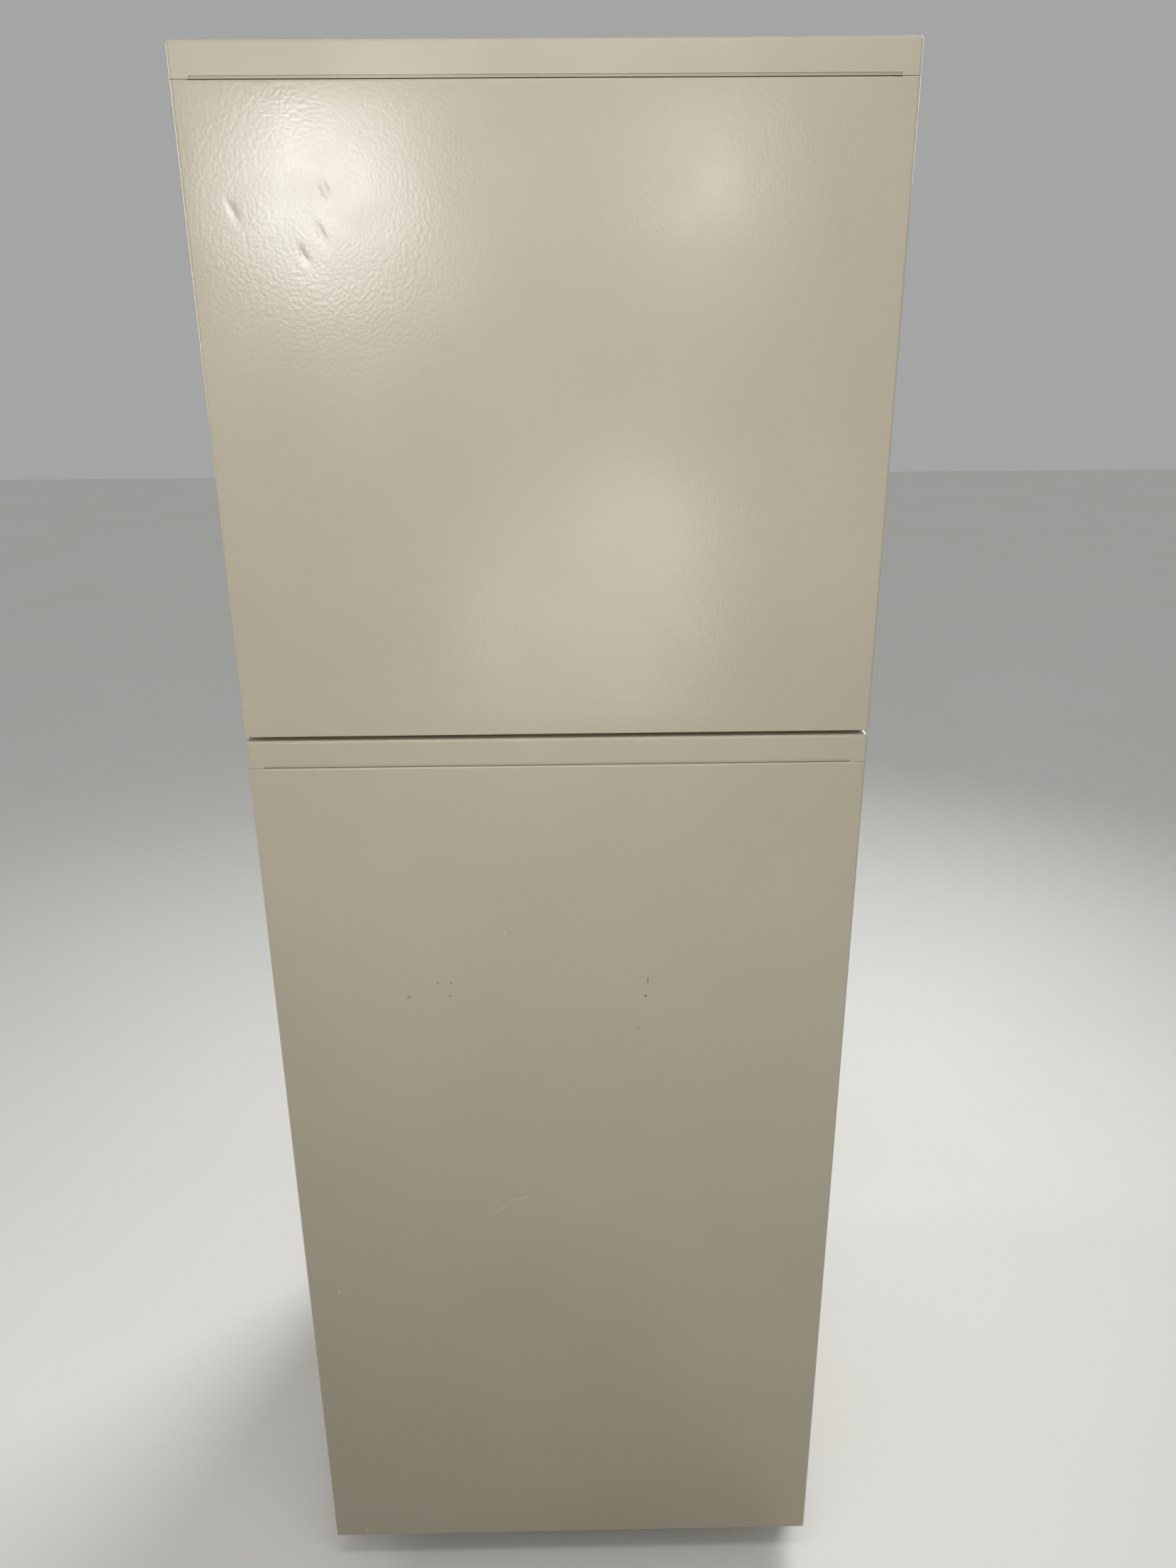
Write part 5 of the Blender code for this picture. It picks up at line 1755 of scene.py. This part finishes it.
@dataclass
class Running:
    """Levelling feet at the front and rollers at the rear.

    Attributes:
        thread: Pitch of the foot's thread.
        stud: Its radius.
    """

    thread: float = 1.25 * MM
    stud: float = 5 * MM

    def build(self) -> None:
        """Makes both feet and both rollers."""
        for side, foot, roller in ((-1, Body.FOOT_LEFT, Body.ROLLER_LEFT), (1, Body.FOOT_RIGHT, Body.ROLLER_RIGHT)):
            label = "left" if side < 0 else "right"
            self.make_foot(label, foot)
            self.make_roller(label, roller)

    def make_foot(self, label: str, body: Body) -> None:
        """A moulded pad with grip ribs on a threaded stud.

        Args:
            label: "left" or "right".
            body: What it moves with.
        """
        low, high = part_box(f"levelling_foot_{label}")
        centre = ((low.x + high.x) / 2, (low.y + high.y) / 2, low.z)
        pad = Workpiece()
        profile = [(0, 0), (17, 0), (18, 0.6), (18.4, 1.4), (18.4, 6.2), (17.4, 7.4), (12.5, 10.6)]
        profile += [(11, 12.6), (0, 12.6)]
        pad.turn(in_mm(profile), centre, (0, 0, 1), 40)
        for i in range(20):
            angle = 2 * pi * i / 20
            out = Vector((cos(angle), sin(angle), 0))
            start = Vector(centre) + out * 18.0 * MM
            pad.rod(start + Vector((0, 0, 1.6 * MM)), start + Vector((0, 0, 6.0 * MM)), 0.95 * MM, 8)
        pad.finish(f"foot_pad_{label}", BLACK_PLASTIC, body, Slot.BLACK_PLASTIC, [f"levelling_foot_{label}"])
        stud, level = [(0.0, 12 * MM)], 12 * MM
        while level < 41 * MM:
            stud += [(self.stud * 0.86, level), (self.stud * 0.99, level + self.thread / 2)]
            level += self.thread
        stud += [(self.stud * 0.7, 41.8 * MM), (0.0, 41.8 * MM)]
        Workpiece().turn(stud, centre, (0, 0, 1), 24).finish(
            f"foot_stud_{label}", ZINC_PLATE, body, Slot.ZINC_STEEL, crease=20
        )

    def make_roller(self, label: str, body: Body) -> None:
        """A moulded wheel: bored hub, dished web and a crowned tread.

        Args:
            label: "left" or "right".
            body: What it moves with.
        """
        node = f"rear_roller_{label}"
        low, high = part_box(node)
        centre = (low + high) / 2
        bore, rim, half = 3.5 * MM, (high.z - low.z) / 2, (high.x - low.x) / 2
        web = half - 3 * MM
        side = [(bore, half), (6.5 * MM, half), (7.2 * MM, web), (11.8 * MM, web), (12.6 * MM, half)]
        tread = [(rim - 1.4 * MM, half), (rim - 0.4 * MM, half - 0.9 * MM), (rim, half - 3 * MM)]
        one = [*side, *tread]
        profile = [*one, *((r, -h) for r, h in reversed(one)), (bore, half)]
        work = Workpiece().turn(profile, centre, (1, 0, 0), 48)
        work.finish(f"{node}_wheel", BLACK_PLASTIC, body, Slot.BLACK_PLASTIC, [node])


# --- Cooling circuit ----------------------------------------------------------------------------------------
@dataclass
class Cooling:
    """Compressor, pipes, condenser, drier, drip tray, evaporator and its fan.

    Attributes:
        can: The compressor's middle, in X and Y.
        can_radius: Of its two half shells.
        runs: Level tubes in the condenser.
        wire_pitch: Between its upright wires.
        fin_pitch: Between the evaporator's fins.
        fan: The fan's middle.
    """

    can: tuple[float, float] = (-0.030, 0.200)
    can_radius: float = 70 * MM
    runs: int = 17
    wire_pitch: float = 10 * MM
    fin_pitch: float = 7 * MM
    fan: tuple[float, float, float] = (0.0, 0.170, 1.520)

    def build(self) -> None:
        """Makes every piece of the circuit."""
        self.make_compressor()
        self.make_pipes()
        self.make_condenser()
        self.make_tray()
        self.make_evaporator()
        self.make_cover()
        self.make_fan()

    def make_compressor(self) -> None:
        """Two drawn half shells with their weld bead, the foot plate, rubber mounts and relay box."""
        low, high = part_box("compressor")
        x, y = self.can
        bottom, top, rise, r = low.z + 8.7 * MM, high.z, 34 * MM, self.can_radius
        arc = [(r * cos(t), rise * sin(t)) for t in (pi / 2 * i / 10 for i in range(10))]
        seam = (bottom + top) / 2
        profile = [(0.0, bottom), *((a, bottom + rise - h) for a, h in reversed(arc))]
        bead = [(r, seam - 4 * MM), (r + 1.5 * MM, seam - 3 * MM), (r + 3.6 * MM, seam - 1.4 * MM)]
        profile += [*bead, *((a, 2 * seam - h) for a, h in reversed(bead))]
        profile += [*((a, top - rise + h) for a, h in arc), (0.0, top)]
        can = Workpiece().turn(profile, (x, y, 0), (0, 0, 1), 64)
        can.rounded_block((x - 85 * MM, y - 55 * MM, 34.0 * MM), (x + 85 * MM, y + 55 * MM, 38.5 * MM), 1.2 * MM, 2)
        can.finish("compressor_shell", BLACK_ENAMEL, Body.CABINET, Slot.BLACK_STEEL, ["compressor"])
        mounts, bolts = Workpiece(), Workpiece()
        for dx in (-72 * MM, 72 * MM):
            for dy in (-43 * MM, 43 * MM):
                grommet = [(0, 0), (9, 0), (9, 1.6), (7.4, 2.4), (7.4, 4.0), (9, 4.6), (9, 5.7), (0, 5.7)]
                mounts.turn(in_mm(grommet), (x + dx, y + dy, low.z), (0, 0, 1), 24)
                Screw((x + dx, y + dy, 38.5 * MM), (0, 0, 1), 5 * MM, True).add_to(bolts)
        mounts.finish("compressor_mounts", BLACK_RUBBER, Body.CABINET, Slot.BLACK_PLASTIC)
        bolts.finish("compressor_bolts", ZINC_PLATE, Body.CABINET, Slot.ZINC_STEEL)
        box = Workpiece().rounded_block(*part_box("relay_box"), 3 * MM, 3)
        box.finish("relay_housing", BLACK_PLASTIC, Body.CABINET, Slot.BLACK_PLASTIC, ["relay_box"])

    def make_pipes(self) -> None:
        """Suction and discharge pipes, the drier and its capillary coil."""
        x, y = self.can
        left = x - self.can_radius - 0.4 * MM
        suction = rounded_route([(left, 0.186, 0.150), (-0.150, 0.186, 0.150), (-0.150, 0.186, 0.2141)], 20 * MM)
        Workpiece().pipe(suction, 4 * MM, 20).finish(
            "suction_tube", COPPER, Body.CABINET, Slot.COPPER, ["suction_pipe"]
        )
        coil_y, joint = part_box("discharge_pipe")[1].y - 2.5 * MM, 0.2497
        discharge = [
            (left, 0.214, 0.095),
            (-0.170, 0.214, 0.095),
            (-0.215, 0.262, 0.120),
            (-0.215, coil_y, 0.170),
            (-0.215, coil_y, joint),
        ]
        Workpiece().pipe(rounded_route(discharge, 18 * MM), 2.5 * MM, 16).finish(
            "discharge_tube", COPPER, Body.CABINET, Slot.COPPER, ["discharge_pipe"]
        )
        low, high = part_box("filter_drier")
        centre = (low + high) / 2
        ends = [(0, 55), (2.2, 55), (2.4, 46), (4.5, 43.5), (8.2, 39), (9, 35)]
        body = [*ends, (9, 22), (8.6, 21.4), (8.6, 20.6), (9, 20), *((a, -b) for a, b in reversed(ends))]
        Workpiece().turn(in_mm(body), centre, (0, 0, 1), 32).finish(
            "drier_shell", COPPER, Body.CABINET, Slot.COPPER, ["filter_drier"]
        )
        coil = [
            (centre.x + 22 * MM * cos(t), 0.244 + 16 * MM * sin(t), 0.150 + 2.6 * MM * t / (2 * pi))
            for t in (2 * pi * i / 28 for i in range(28 * 6 + 1))
        ]
        Workpiece().pipe(coil, 1.0 * MM, 8).finish("capillary_coil", COPPER, Body.CABINET, Slot.COPPER)

    def make_condenser(self) -> None:
        """The tube, bent to and fro, with upright wires welded across it, on its brackets."""
        low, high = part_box("condenser_coil")
        r = 2.5 * MM
        y = (low.y + high.y) / 2
        reach, bottom, top = high.x - r, 0.300, 1.500
        bend = (top - bottom) / (self.runs - 1) / 2
        route = [(-reach, y, 0.2503), (-reach, y, bottom - 12 * MM)]
        elbow = [(-reach, y, bottom - 11 * MM), (-reach, y, bottom), (-reach + 12 * MM, y, bottom)]
        route += rounded_route(elbow, 8 * MM)
        for run in range(self.runs - 1):
            side = 1 if run % 2 == 0 else -1
            level = bottom + (2 * run + 1) * bend
            for i in range(11):
                angle = -pi / 2 + pi * i / 10
                route.append((side * (reach - bend + bend * cos(angle)), y, level + bend * sin(angle)))
        route.append((reach - 50 * MM, y, top))
        Workpiece().pipe(route, r, 12).finish(
            "condenser_tube", BLACK_ENAMEL, Body.CABINET, Slot.BLACK_STEEL, ["condenser_coil"]
        )
        wires = Workpiece()
        wire = 0.7 * MM
        for x in steps(-reach + bend + 2 * MM, reach - bend - 2 * MM, self.wire_pitch):
            for way in (-1, 1):
                if way < 0 and 147 * MM < abs(x) < 169 * MM:  # a bracket is in the way
                    continue
                level_y = y + way * (r + wire * 0.7)
                wires.rod((x, level_y, bottom - 7 * MM), (x, level_y, top + 7 * MM), wire, 6)
        wires.finish("condenser_wires", BLACK_ENAMEL, Body.CABINET, Slot.BLACK_STEEL)
        for label in ("left", "right"):
            dress(f"condenser_bracket_{label}", BLACK_ENAMEL)

    def make_tray(self) -> None:
        """The tray in which thawed water dries off, and the gland for the mains lead."""
        low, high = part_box("drip_tray")
        profile = [(0, high.z), (0, high.z - 2 * MM), (1 * MM, high.z - 3 * MM), (2.5 * MM, low.z)]
        work = Workpiece().terrace(Axis.Z, (low.x, low.y), (high.x, high.y), profile, 10 * MM)
        work.face_out((0, 0, -1))
        work.finish(
            "drip_tray_moulding",
            BLACK_PLASTIC,
            Body.CABINET,
            Slot.BLACK_PLASTIC,
            ["drip_tray"],
            wall=1.3 * MM,
            crease=50,
        )
        low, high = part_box("cord_gland")
        centre = Vector(((low.x + high.x) / 2, low.y, (low.z + high.z) / 2))
        ring = [(4.8, 0), (11.5, 0), (11.5, 4.2), (10.6, 5.2), (9.6, 5.4), (9.2, 6.8), (7.2, 7.0)]
        ring += [(5.4, 7.0), (4.8, 6.4), (4.8, 0)]
        Workpiece().turn(in_mm(ring), centre, (0, 1, 0), 36).finish(
            "lead_gland", BLACK_PLASTIC, Body.CABINET, Slot.BLACK_PLASTIC, ["cord_gland"]
        )

    def make_evaporator(self) -> None:
        """Rolled fins on a tube bent to and fro."""
        low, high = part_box("evaporator")
        fins = Workpiece()
        for x in steps(low.x, high.x, self.fin_pitch):
            fins.block((x - 0.15 * MM, low.y, low.z), (x + 0.15 * MM, high.y, high.z))
        fins.finish("evaporator_fins", ALUMINIUM, Body.CABINET, Slot.ALUMINIUM, ["evaporator"])
        tubes, rows = Workpiece(), 6
        rise = (high.z - low.z) / rows
        bend = rise / 2
        turn_x = high.x - bend - 4.2 * MM  # where each bend starts
        for y in (low.y + 16 * MM, high.y - 16 * MM):
            route: list[Vector] = []
            for row in range(rows):
                side = 1 if row % 2 == 0 else -1
                level = low.z + rise * (row + 0.5)
                route.append(Vector((-side * turn_x, y, level)))
                if row == rows - 1:
                    route.append(Vector((side * (high.x - 6 * MM), y, level)))
                    break
                for i in range(9):
                    angle = -pi / 2 + pi * i / 8
                    x = side * (turn_x + bend * cos(angle))
                    route.append(Vector((x, y, level + bend + bend * sin(angle))))
            apart = [there for here, there in zip(route, route[1:]) if (there - here).length > 0.1 * MM]
            tubes.pipe([route[0], *apart], 4 * MM, 12)
        tubes.finish("evaporator_tube", ALUMINIUM, Body.CABINET, Slot.ALUMINIUM)

    def make_cover(self) -> None:
        """The panel before the evaporator, with slots for the cold air above and its way back below."""
        low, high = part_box("evaporator_cover")
        work = Workpiece().loft(
            [[(x, low.y, z) for x, z in outline((low.x, low.z), (high.x, high.z), 10 * MM)]], True, False
        )
        first_slot, rise, pitch = self.fan[2] - 43 * MM, 13 * MM, 29.7 * MM
        above = [(first_slot + rise * i, self.fan[2] - 35 * MM + rise * i) for i in range(7)]
        slots = [((-45 * MM, 45 * MM), limits) for limits in above]
        low_slots = [((-0.200 + pitch * i, -0.186 + pitch * i), (1.172, 1.192)) for i in range(14)]
        punch(work, (Axis.X, Axis.Z), [*slots, *low_slots])
        work.face_out((0, -1, 0))
        work.finish(
            "evaporator_panel",
            LINER_WHITE,
            Body.CABINET,
            Slot.LINER_WHITE,
            ["evaporator_cover"],
            wall=2.8 * MM,
            crease=50,
        )

    def make_fan(self) -> None:
        """The motor, and a fan with five twisted blades."""
        x, _, z = self.fan
        motor = [(0, 63), (2.5, 62.6), (2.5, 30), (19, 30), (22.5, 29), (24, 26), (24, 3), (22, 0), (0, 0)]
        Workpiece().turn(in_mm(motor), (x, 0.226, z), (0, -1, 0), 40).finish(
            "fan_motor_housing", BLACK_PLASTIC, Body.CABINET, Slot.BLACK_PLASTIC, ["fan_motor"]
        )
        fan = Workpiece()
        hub = [(0, 12), (9, 11.4), (12.6, 9.6), (14, 6), (14, -12), (3.2, -12), (3.2, 9), (0, 9)]
        fan.turn(in_mm(hub), self.fan, (0, -1, 0), 40)
        for blade in range(5):
            turn = Matrix.Rotation(2 * pi * blade / 5, 4, "Y")
            loops = []
            for step in range(6):
                share = step / 5
                out, half, pitch = (13 + 30 * share) * MM, (9 + 4 * share) * MM, radians(42 - 14 * share)
                section = [(cos(a) * half, sin(a) * 0.8 * MM) for a in (2 * pi * i / 12 for i in range(12))]
                ring = [
                    Vector((u * cos(pitch) - v * sin(pitch), u * sin(pitch) + v * cos(pitch), out))
                    for u, v in section
                ]
                loops.append([Vector(self.fan) + turn @ spot for spot in ring])
            fan.loft(loops)
        fan.finish("evaporator_fan_wheel", BLACK_PLASTIC, Body.FAN, Slot.BLACK_PLASTIC, ["evaporator_fan"])


# --- Inside -------------------------------------------------------------------------------------------------
@dataclass
class Interior:
    """Shelves, crisper drawer, control housing with its lamp and knob, and the lamp switch.

    Attributes:
        corner: Radius of the shelves' corners.
        trim: Height of the moulding along a shelf's front.
    """

    corner: float = 8 * MM
    trim: float = 9 * MM

    def build(self) -> None:
        """Makes everything in the two compartments."""
        for name in ("glass_shelf_upper", "glass_shelf_middle", "crisper_cover"):
            self.make_glass(name)
        self.make_freezer_shelf()
        self.make_drawer()
        self.make_controls()

    def make_glass(self, node: str) -> None:
        """One glass shelf with a moulding along its front edge and one along its rear.

        Args:
            node: The CAD node that it stands for.
        """
        low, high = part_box(node)
        pane = Workpiece().terrace(
            Axis.Z,
            (low.x, low.y),
            (high.x, high.y),
            [(0.5 * MM, low.z), (0, low.z + 0.5 * MM), (0, high.z - 0.5 * MM), (0.5 * MM, high.z)],
            self.corner,
            first=True,
        )
        pane.finish(f"{node}_pane", SHELF_GLASS, Body.CABINET, Slot.SHELF_GLASS, [node])
        trims = Workpiece()
        middle_z, lip = (low.z + high.z) / 2, low.y - 4.6 * MM
        left, right = low.x + 8.5 * MM, high.x - 8.5 * MM
        for y in (low.y - 4 * MM, high.y - 12 * MM):
            for z in ((low.z - 1.6 * MM, low.z - 0.05 * MM), (high.z + 0.05 * MM, high.z + 1.6 * MM)):
                trims.rounded_block((left, y, z[0]), (right, y + 11 * MM, z[1]), 0.6 * MM, 2)
        lip_low, lip_high = middle_z - self.trim / 2, middle_z + self.trim / 2
        trims.rounded_block((left, lip, lip_low), (right, lip + 3 * MM, lip_high), 1.2 * MM)
        trims.finish(f"{node}_trims", WHITE_MOULDING, Body.CABINET, Slot.LINER_WHITE)

    def make_freezer_shelf(self) -> None:
        """The moulded shelf with long slots, and a lip along its front."""
        low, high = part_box("freezer_shelf")
        work = Workpiece().loft(
            [[(x, y, high.z) for x, y in outline((low.x, low.y), (high.x, high.y), 5 * MM)]], True, False
        )
        pitch = 31.7 * MM
        across = [(-0.232 + pitch * i, -0.212 + pitch * i) for i in range(15)]
        spans = [(low.y + 15 * MM, -0.008), (0.004, high.y - 15 * MM)]
        punch(work, (Axis.X, Axis.Y), [(x, y) for x in across for y in spans])
        work.face_out((0, 0, 1))
        work.finish(
            "freezer_shelf_moulding",
            WHITE_MOULDING,
            Body.CABINET,
            Slot.LINER_WHITE,
            ["freezer_shelf"],
            wall=4.6 * MM,
        )
        lip_low = (low.x + 9 * MM, low.y - 2 * MM, low.z - 6 * MM)
        lip_high = (high.x - 9 * MM, low.y + 3 * MM, high.z + 3 * MM)
        lip = Workpiece().rounded_block(lip_low, lip_high, 1.4 * MM)
        lip.finish("freezer_shelf_lip", WHITE_MOULDING, Body.CABINET, Slot.LINER_WHITE)

    def make_drawer(self) -> None:
        """The clear vegetable drawer with a white strip to pull it by."""
        make_bin("crisper_drawer", Body.CRISPER, BIN_CLEAR, 16 * MM, 2.3 * MM)
        low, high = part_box("crisper_drawer")
        pull = Workpiece().rounded_block(
            (-0.150, low.y - 2.2 * MM, high.z - 32 * MM), (0.150, low.y + 1.0 * MM, high.z - 8 * MM), 1.4 * MM
        )
        pull.push(lambda f: f.normal.y < -0.99 and f.calc_area() > 1e-3, 3 * MM, (0, 1.2 * MM, 0))
        pull.finish("crisper_pull", WHITE_MOULDING, Body.CRISPER, Slot.LINER_WHITE)

    def make_controls(self) -> None:
        """Housing, lamp lens, knob, and the switch with its plunger."""
        low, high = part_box("control_housing")
        housing = Workpiece().rounded_block(low, high, 6 * MM, 4)
        housing.finish("control_box", WHITE_MOULDING, Body.CABINET, Slot.LINER_WHITE, ["control_housing"])
        low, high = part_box("lamp_cover")
        lens = Workpiece().terrace(
            Axis.Y,
            (low.x, low.z),
            (high.x, high.z),
            [(0, high.y), (0, low.y + 3 * MM), (3 * MM, low.y), (6 * MM, low.y)],
            5 * MM,
            2 * MM,
        )
        lens.face_out((0, -1, 0))
        lens.finish(
            "lamp_lens", LAMP_LENS, Body.CABINET, Slot.LAMP_PLASTIC, ["lamp_cover"], wall=1.4 * MM, crease=50
        )
        ribs = Workpiece()
        for x in steps(low.x + 4 * MM, high.x - 4 * MM, 6 * MM):
            rib_low = (x - 0.5 * MM, low.y - 0.1 * MM, low.z + 5 * MM)
            rib_high = (x + 0.5 * MM, low.y + 0.6 * MM, high.z - 5 * MM)
            ribs.rounded_block(rib_low, rib_high, 0.3 * MM, 2)
        ribs.finish("lamp_lens_ribs", LAMP_LENS, Body.CABINET, Slot.LAMP_PLASTIC)
        self.make_knob()
        dress("door_switch", WHITE_MOULDING)
        low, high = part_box("switch_plunger")
        centre = Vector(((low.x + high.x) / 2, high.y, (low.z + high.z) / 2))
        length = (high.y - low.y) / MM
        tip = [(0, length), (1.6, length - 0.3), (2.9, length - 1.2), (3.9, length - 2.6), (3.9, 0), (0, 0)]
        Workpiece().turn(in_mm(tip), centre, (0, -1, 0), 24).finish(
            "switch_button", WHITE_MOULDING, Body.PLUNGER, Slot.LINER_WHITE, ["switch_plunger"]
        )

    def make_knob(self) -> None:
        """The thermostat's knob with its finger ridge, and the dial's ticks behind it."""
        low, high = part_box("thermostat_knob")
        centre = Vector(((low.x + high.x) / 2, high.y, 1.0745))
        side = [(0, 18), (14.5, 18), (16.2, 17.5), (17.2, 16.2), (18.7, 3.5), (18.9, 0.6), (18.6, 0), (0, 0)]
        knob = Workpiece().turn(in_mm(side), centre, (0, -1, 0), 56)
        ridge_low = centre + Vector((-2.5 * MM, -(high.y - low.y), -14.5 * MM))
        ridge_high = centre + Vector((2.5 * MM, -17 * MM, 14.5 * MM))
        knob.rounded_block(ridge_low, ridge_high, 1.6 * MM)
        knob.finish("thermostat_dial", WHITE_MOULDING, Body.KNOB, Slot.LINER_WHITE, ["thermostat_knob"])
        ticks = Workpiece()
        for i in range(7):
            angle = radians(225 - 45 * i)
            out = Vector((cos(angle), 0, sin(angle)))
            ticks.rod(centre + out * 20.2 * MM, centre + out * 22.7 * MM, 0.19 * MM, 8)
        ticks.finish("dial_ticks", BLACK_PLASTIC, Body.CABINET, Slot.BLACK_PLASTIC)


# --- Stage --------------------------------------------------------------------------------------------------
@dataclass(frozen=True)
class Softbox:
    """A rectangular studio light that points at a spot.

    Attributes:
        name: Of the light.
        place: Where it hangs.
        target: Where it points.
        size: Width and height.
        power: In watts.
        colour: Its sRGB hex colour.
        spread: Angle of its beam, in degrees.
    """

    name: str
    place: tuple[float, float, float]
    target: tuple[float, float, float]
    size: tuple[float, float]
    power: float
    colour: str = "FFFFFF"
    spread: float = 180.0

    def build(self) -> None:
        """Hangs the light."""
        lamp = bpy.data.lights.new(self.name, "AREA")
        lamp.shape = "RECTANGLE"
        lamp.size, lamp.size_y = self.size
        lamp.energy = self.power
        lamp.spread = radians(self.spread)
        lamp.color = linear(self.colour)[:3]
        hung = bpy.data.objects.new(self.name, lamp)
        hung.location = self.place
        aim = Vector(self.target) - Vector(self.place)
        hung.rotation_euler = aim.to_track_quat("-Z", "Y").to_euler()
        bpy.context.scene.collection.objects.link(hung)


@dataclass(frozen=True)
class Stage:
    """Floor, surrounding light and camera.

    Attributes:
        eye: Where the camera stands: a standing person's phone, about a metre before the doors.
        pitch: Its tilt, in degrees above the horizon.
        yaw: Its turn about Z, in degrees.
        roll: Its lean to the right, in degrees.
        lens: Focal length for a 36 mm long side.
    """

    eye: tuple[float, float, float] = (0.0132, -1.4664, 1.5486)
    pitch: float = -22.15
    yaw: float = -0.79
    roll: float = 0.415
    lens: float = 29.07

    def build(self) -> None:
        """Sets the stage."""
        self.make_floor()
        self.make_surroundings()
        self.make_lights()
        self.make_camera()

    def make_floor(self) -> None:
        """A pale seamless floor."""
        work = Workpiece()
        bmesh.ops.create_grid(work.bm, x_segments=8, y_segments=8, size=9.0)
        mesh = bpy.data.meshes.new("studio_floor")
        work.bm.to_mesh(mesh)
        work.bm.free()
        floor = bpy.data.objects.new("studio_floor", mesh)
        bpy.context.scene.collection.objects.link(floor)
        # Matt seamless paper, all but white.
        paper = MouldedPlastic("seamless_paper", "F1F0EC", 0.9, shade="EDECE7", grain=3 * MM, patch=0.6)
        mesh.materials.append(paper.material())

    def make_surroundings(self) -> None:
        """An even pale light from all round."""
        world = bpy.data.worlds.new("studio")
        world.use_nodes = True
        backdrop = world.node_tree.nodes["Background"]
        backdrop.inputs["Color"].default_value = linear("F6F7F7")
        backdrop.inputs["Strength"].default_value = 0.405
        bpy.context.scene.world = world

    def make_lights(self) -> None:
        """A key light, soft boxes that the doors mirror, and fills for the side and the back."""
        centre = (0.0, 0.0, 0.95)
        for light in (
            Softbox("key", (0.0, -2.7, 2.55), (0, -0.32, 1.45), (1.4, 0.7), 2.2, spread=62),
            Softbox("ceiling", (0.0, -1.0, 2.9), (0, -0.5, 0.0), (1.4, 0.35), 3.4, spread=110),
            Softbox("window_left", (-0.62, -2.82, 1.73), (-0.15, -0.32, 1.55), (0.24, 0.26), 1.08, spread=56),
            Softbox("window_right", (0.38, -2.82, 1.75), (0.1, -0.32, 1.55), (0.16, 0.34), 0.33, spread=60),
            Softbox("lamp_low_right", (0.22, -2.82, 0.72), (0.0, -0.32, 1.2), (0.30, 0.60), 0.45, spread=60),
            Softbox("lamp_low_left", (-0.15, -2.82, 0.58), (0.0, -0.32, 1.2), (0.24, 0.40), 0.18, spread=60),
            Softbox("rear_fill", (1.6, 2.8, 2.6), centre, (1.8, 1.8), 26.0, spread=80),
            Softbox("left_fill", (-3.0, 0.42, 1.75), (-0.3, -0.3, 1.5), (0.5, 1.0), 5.0, spread=80),
        ):
            light.build()

    def make_camera(self) -> None:
        """A phone camera that looks a little down at the doors."""
        data = bpy.data.cameras.new("phone")
        data.sensor_width = 36.0
        data.lens = self.lens
        camera = bpy.data.objects.new("phone", data)
        look = Matrix.Rotation(radians(self.yaw), 4, "Z") @ Matrix.Rotation(radians(90 + self.pitch), 4, "X")
        camera.matrix_world = Matrix.Translation(self.eye) @ look @ Matrix.Rotation(radians(-self.roll), 4, "Z")
        bpy.context.scene.collection.objects.link(camera)
        bpy.context.scene.camera = camera


def main() -> None:
    """Builds the fridge-freezer's looks, the doors first."""
    logging.basicConfig(level=logging.INFO)
    bpy.context.scene.view_settings.view_transform = "Standard"
    Stage().build()
    dents = (
        Dent(-0.183, 1.610, 8 * MM, 0.20 * MM),
        Dent(-0.260, 1.595, 7 * MM, 0.17 * MM),
        Dent(-0.189, 1.577, 8 * MM, 0.19 * MM),
        Dent(-0.205, 1.561, 7 * MM, 0.19 * MM),
    )
    Door("freezer", Body.FREEZER_DOOR, dents).build()
    Door("fridge", Body.FRIDGE_DOOR).build()
    for assembly in (DoorFittings(), Cabinet(), Running(), Cooling(), Interior()):
        assembly.build()


if __name__ == "__main__":
    main()
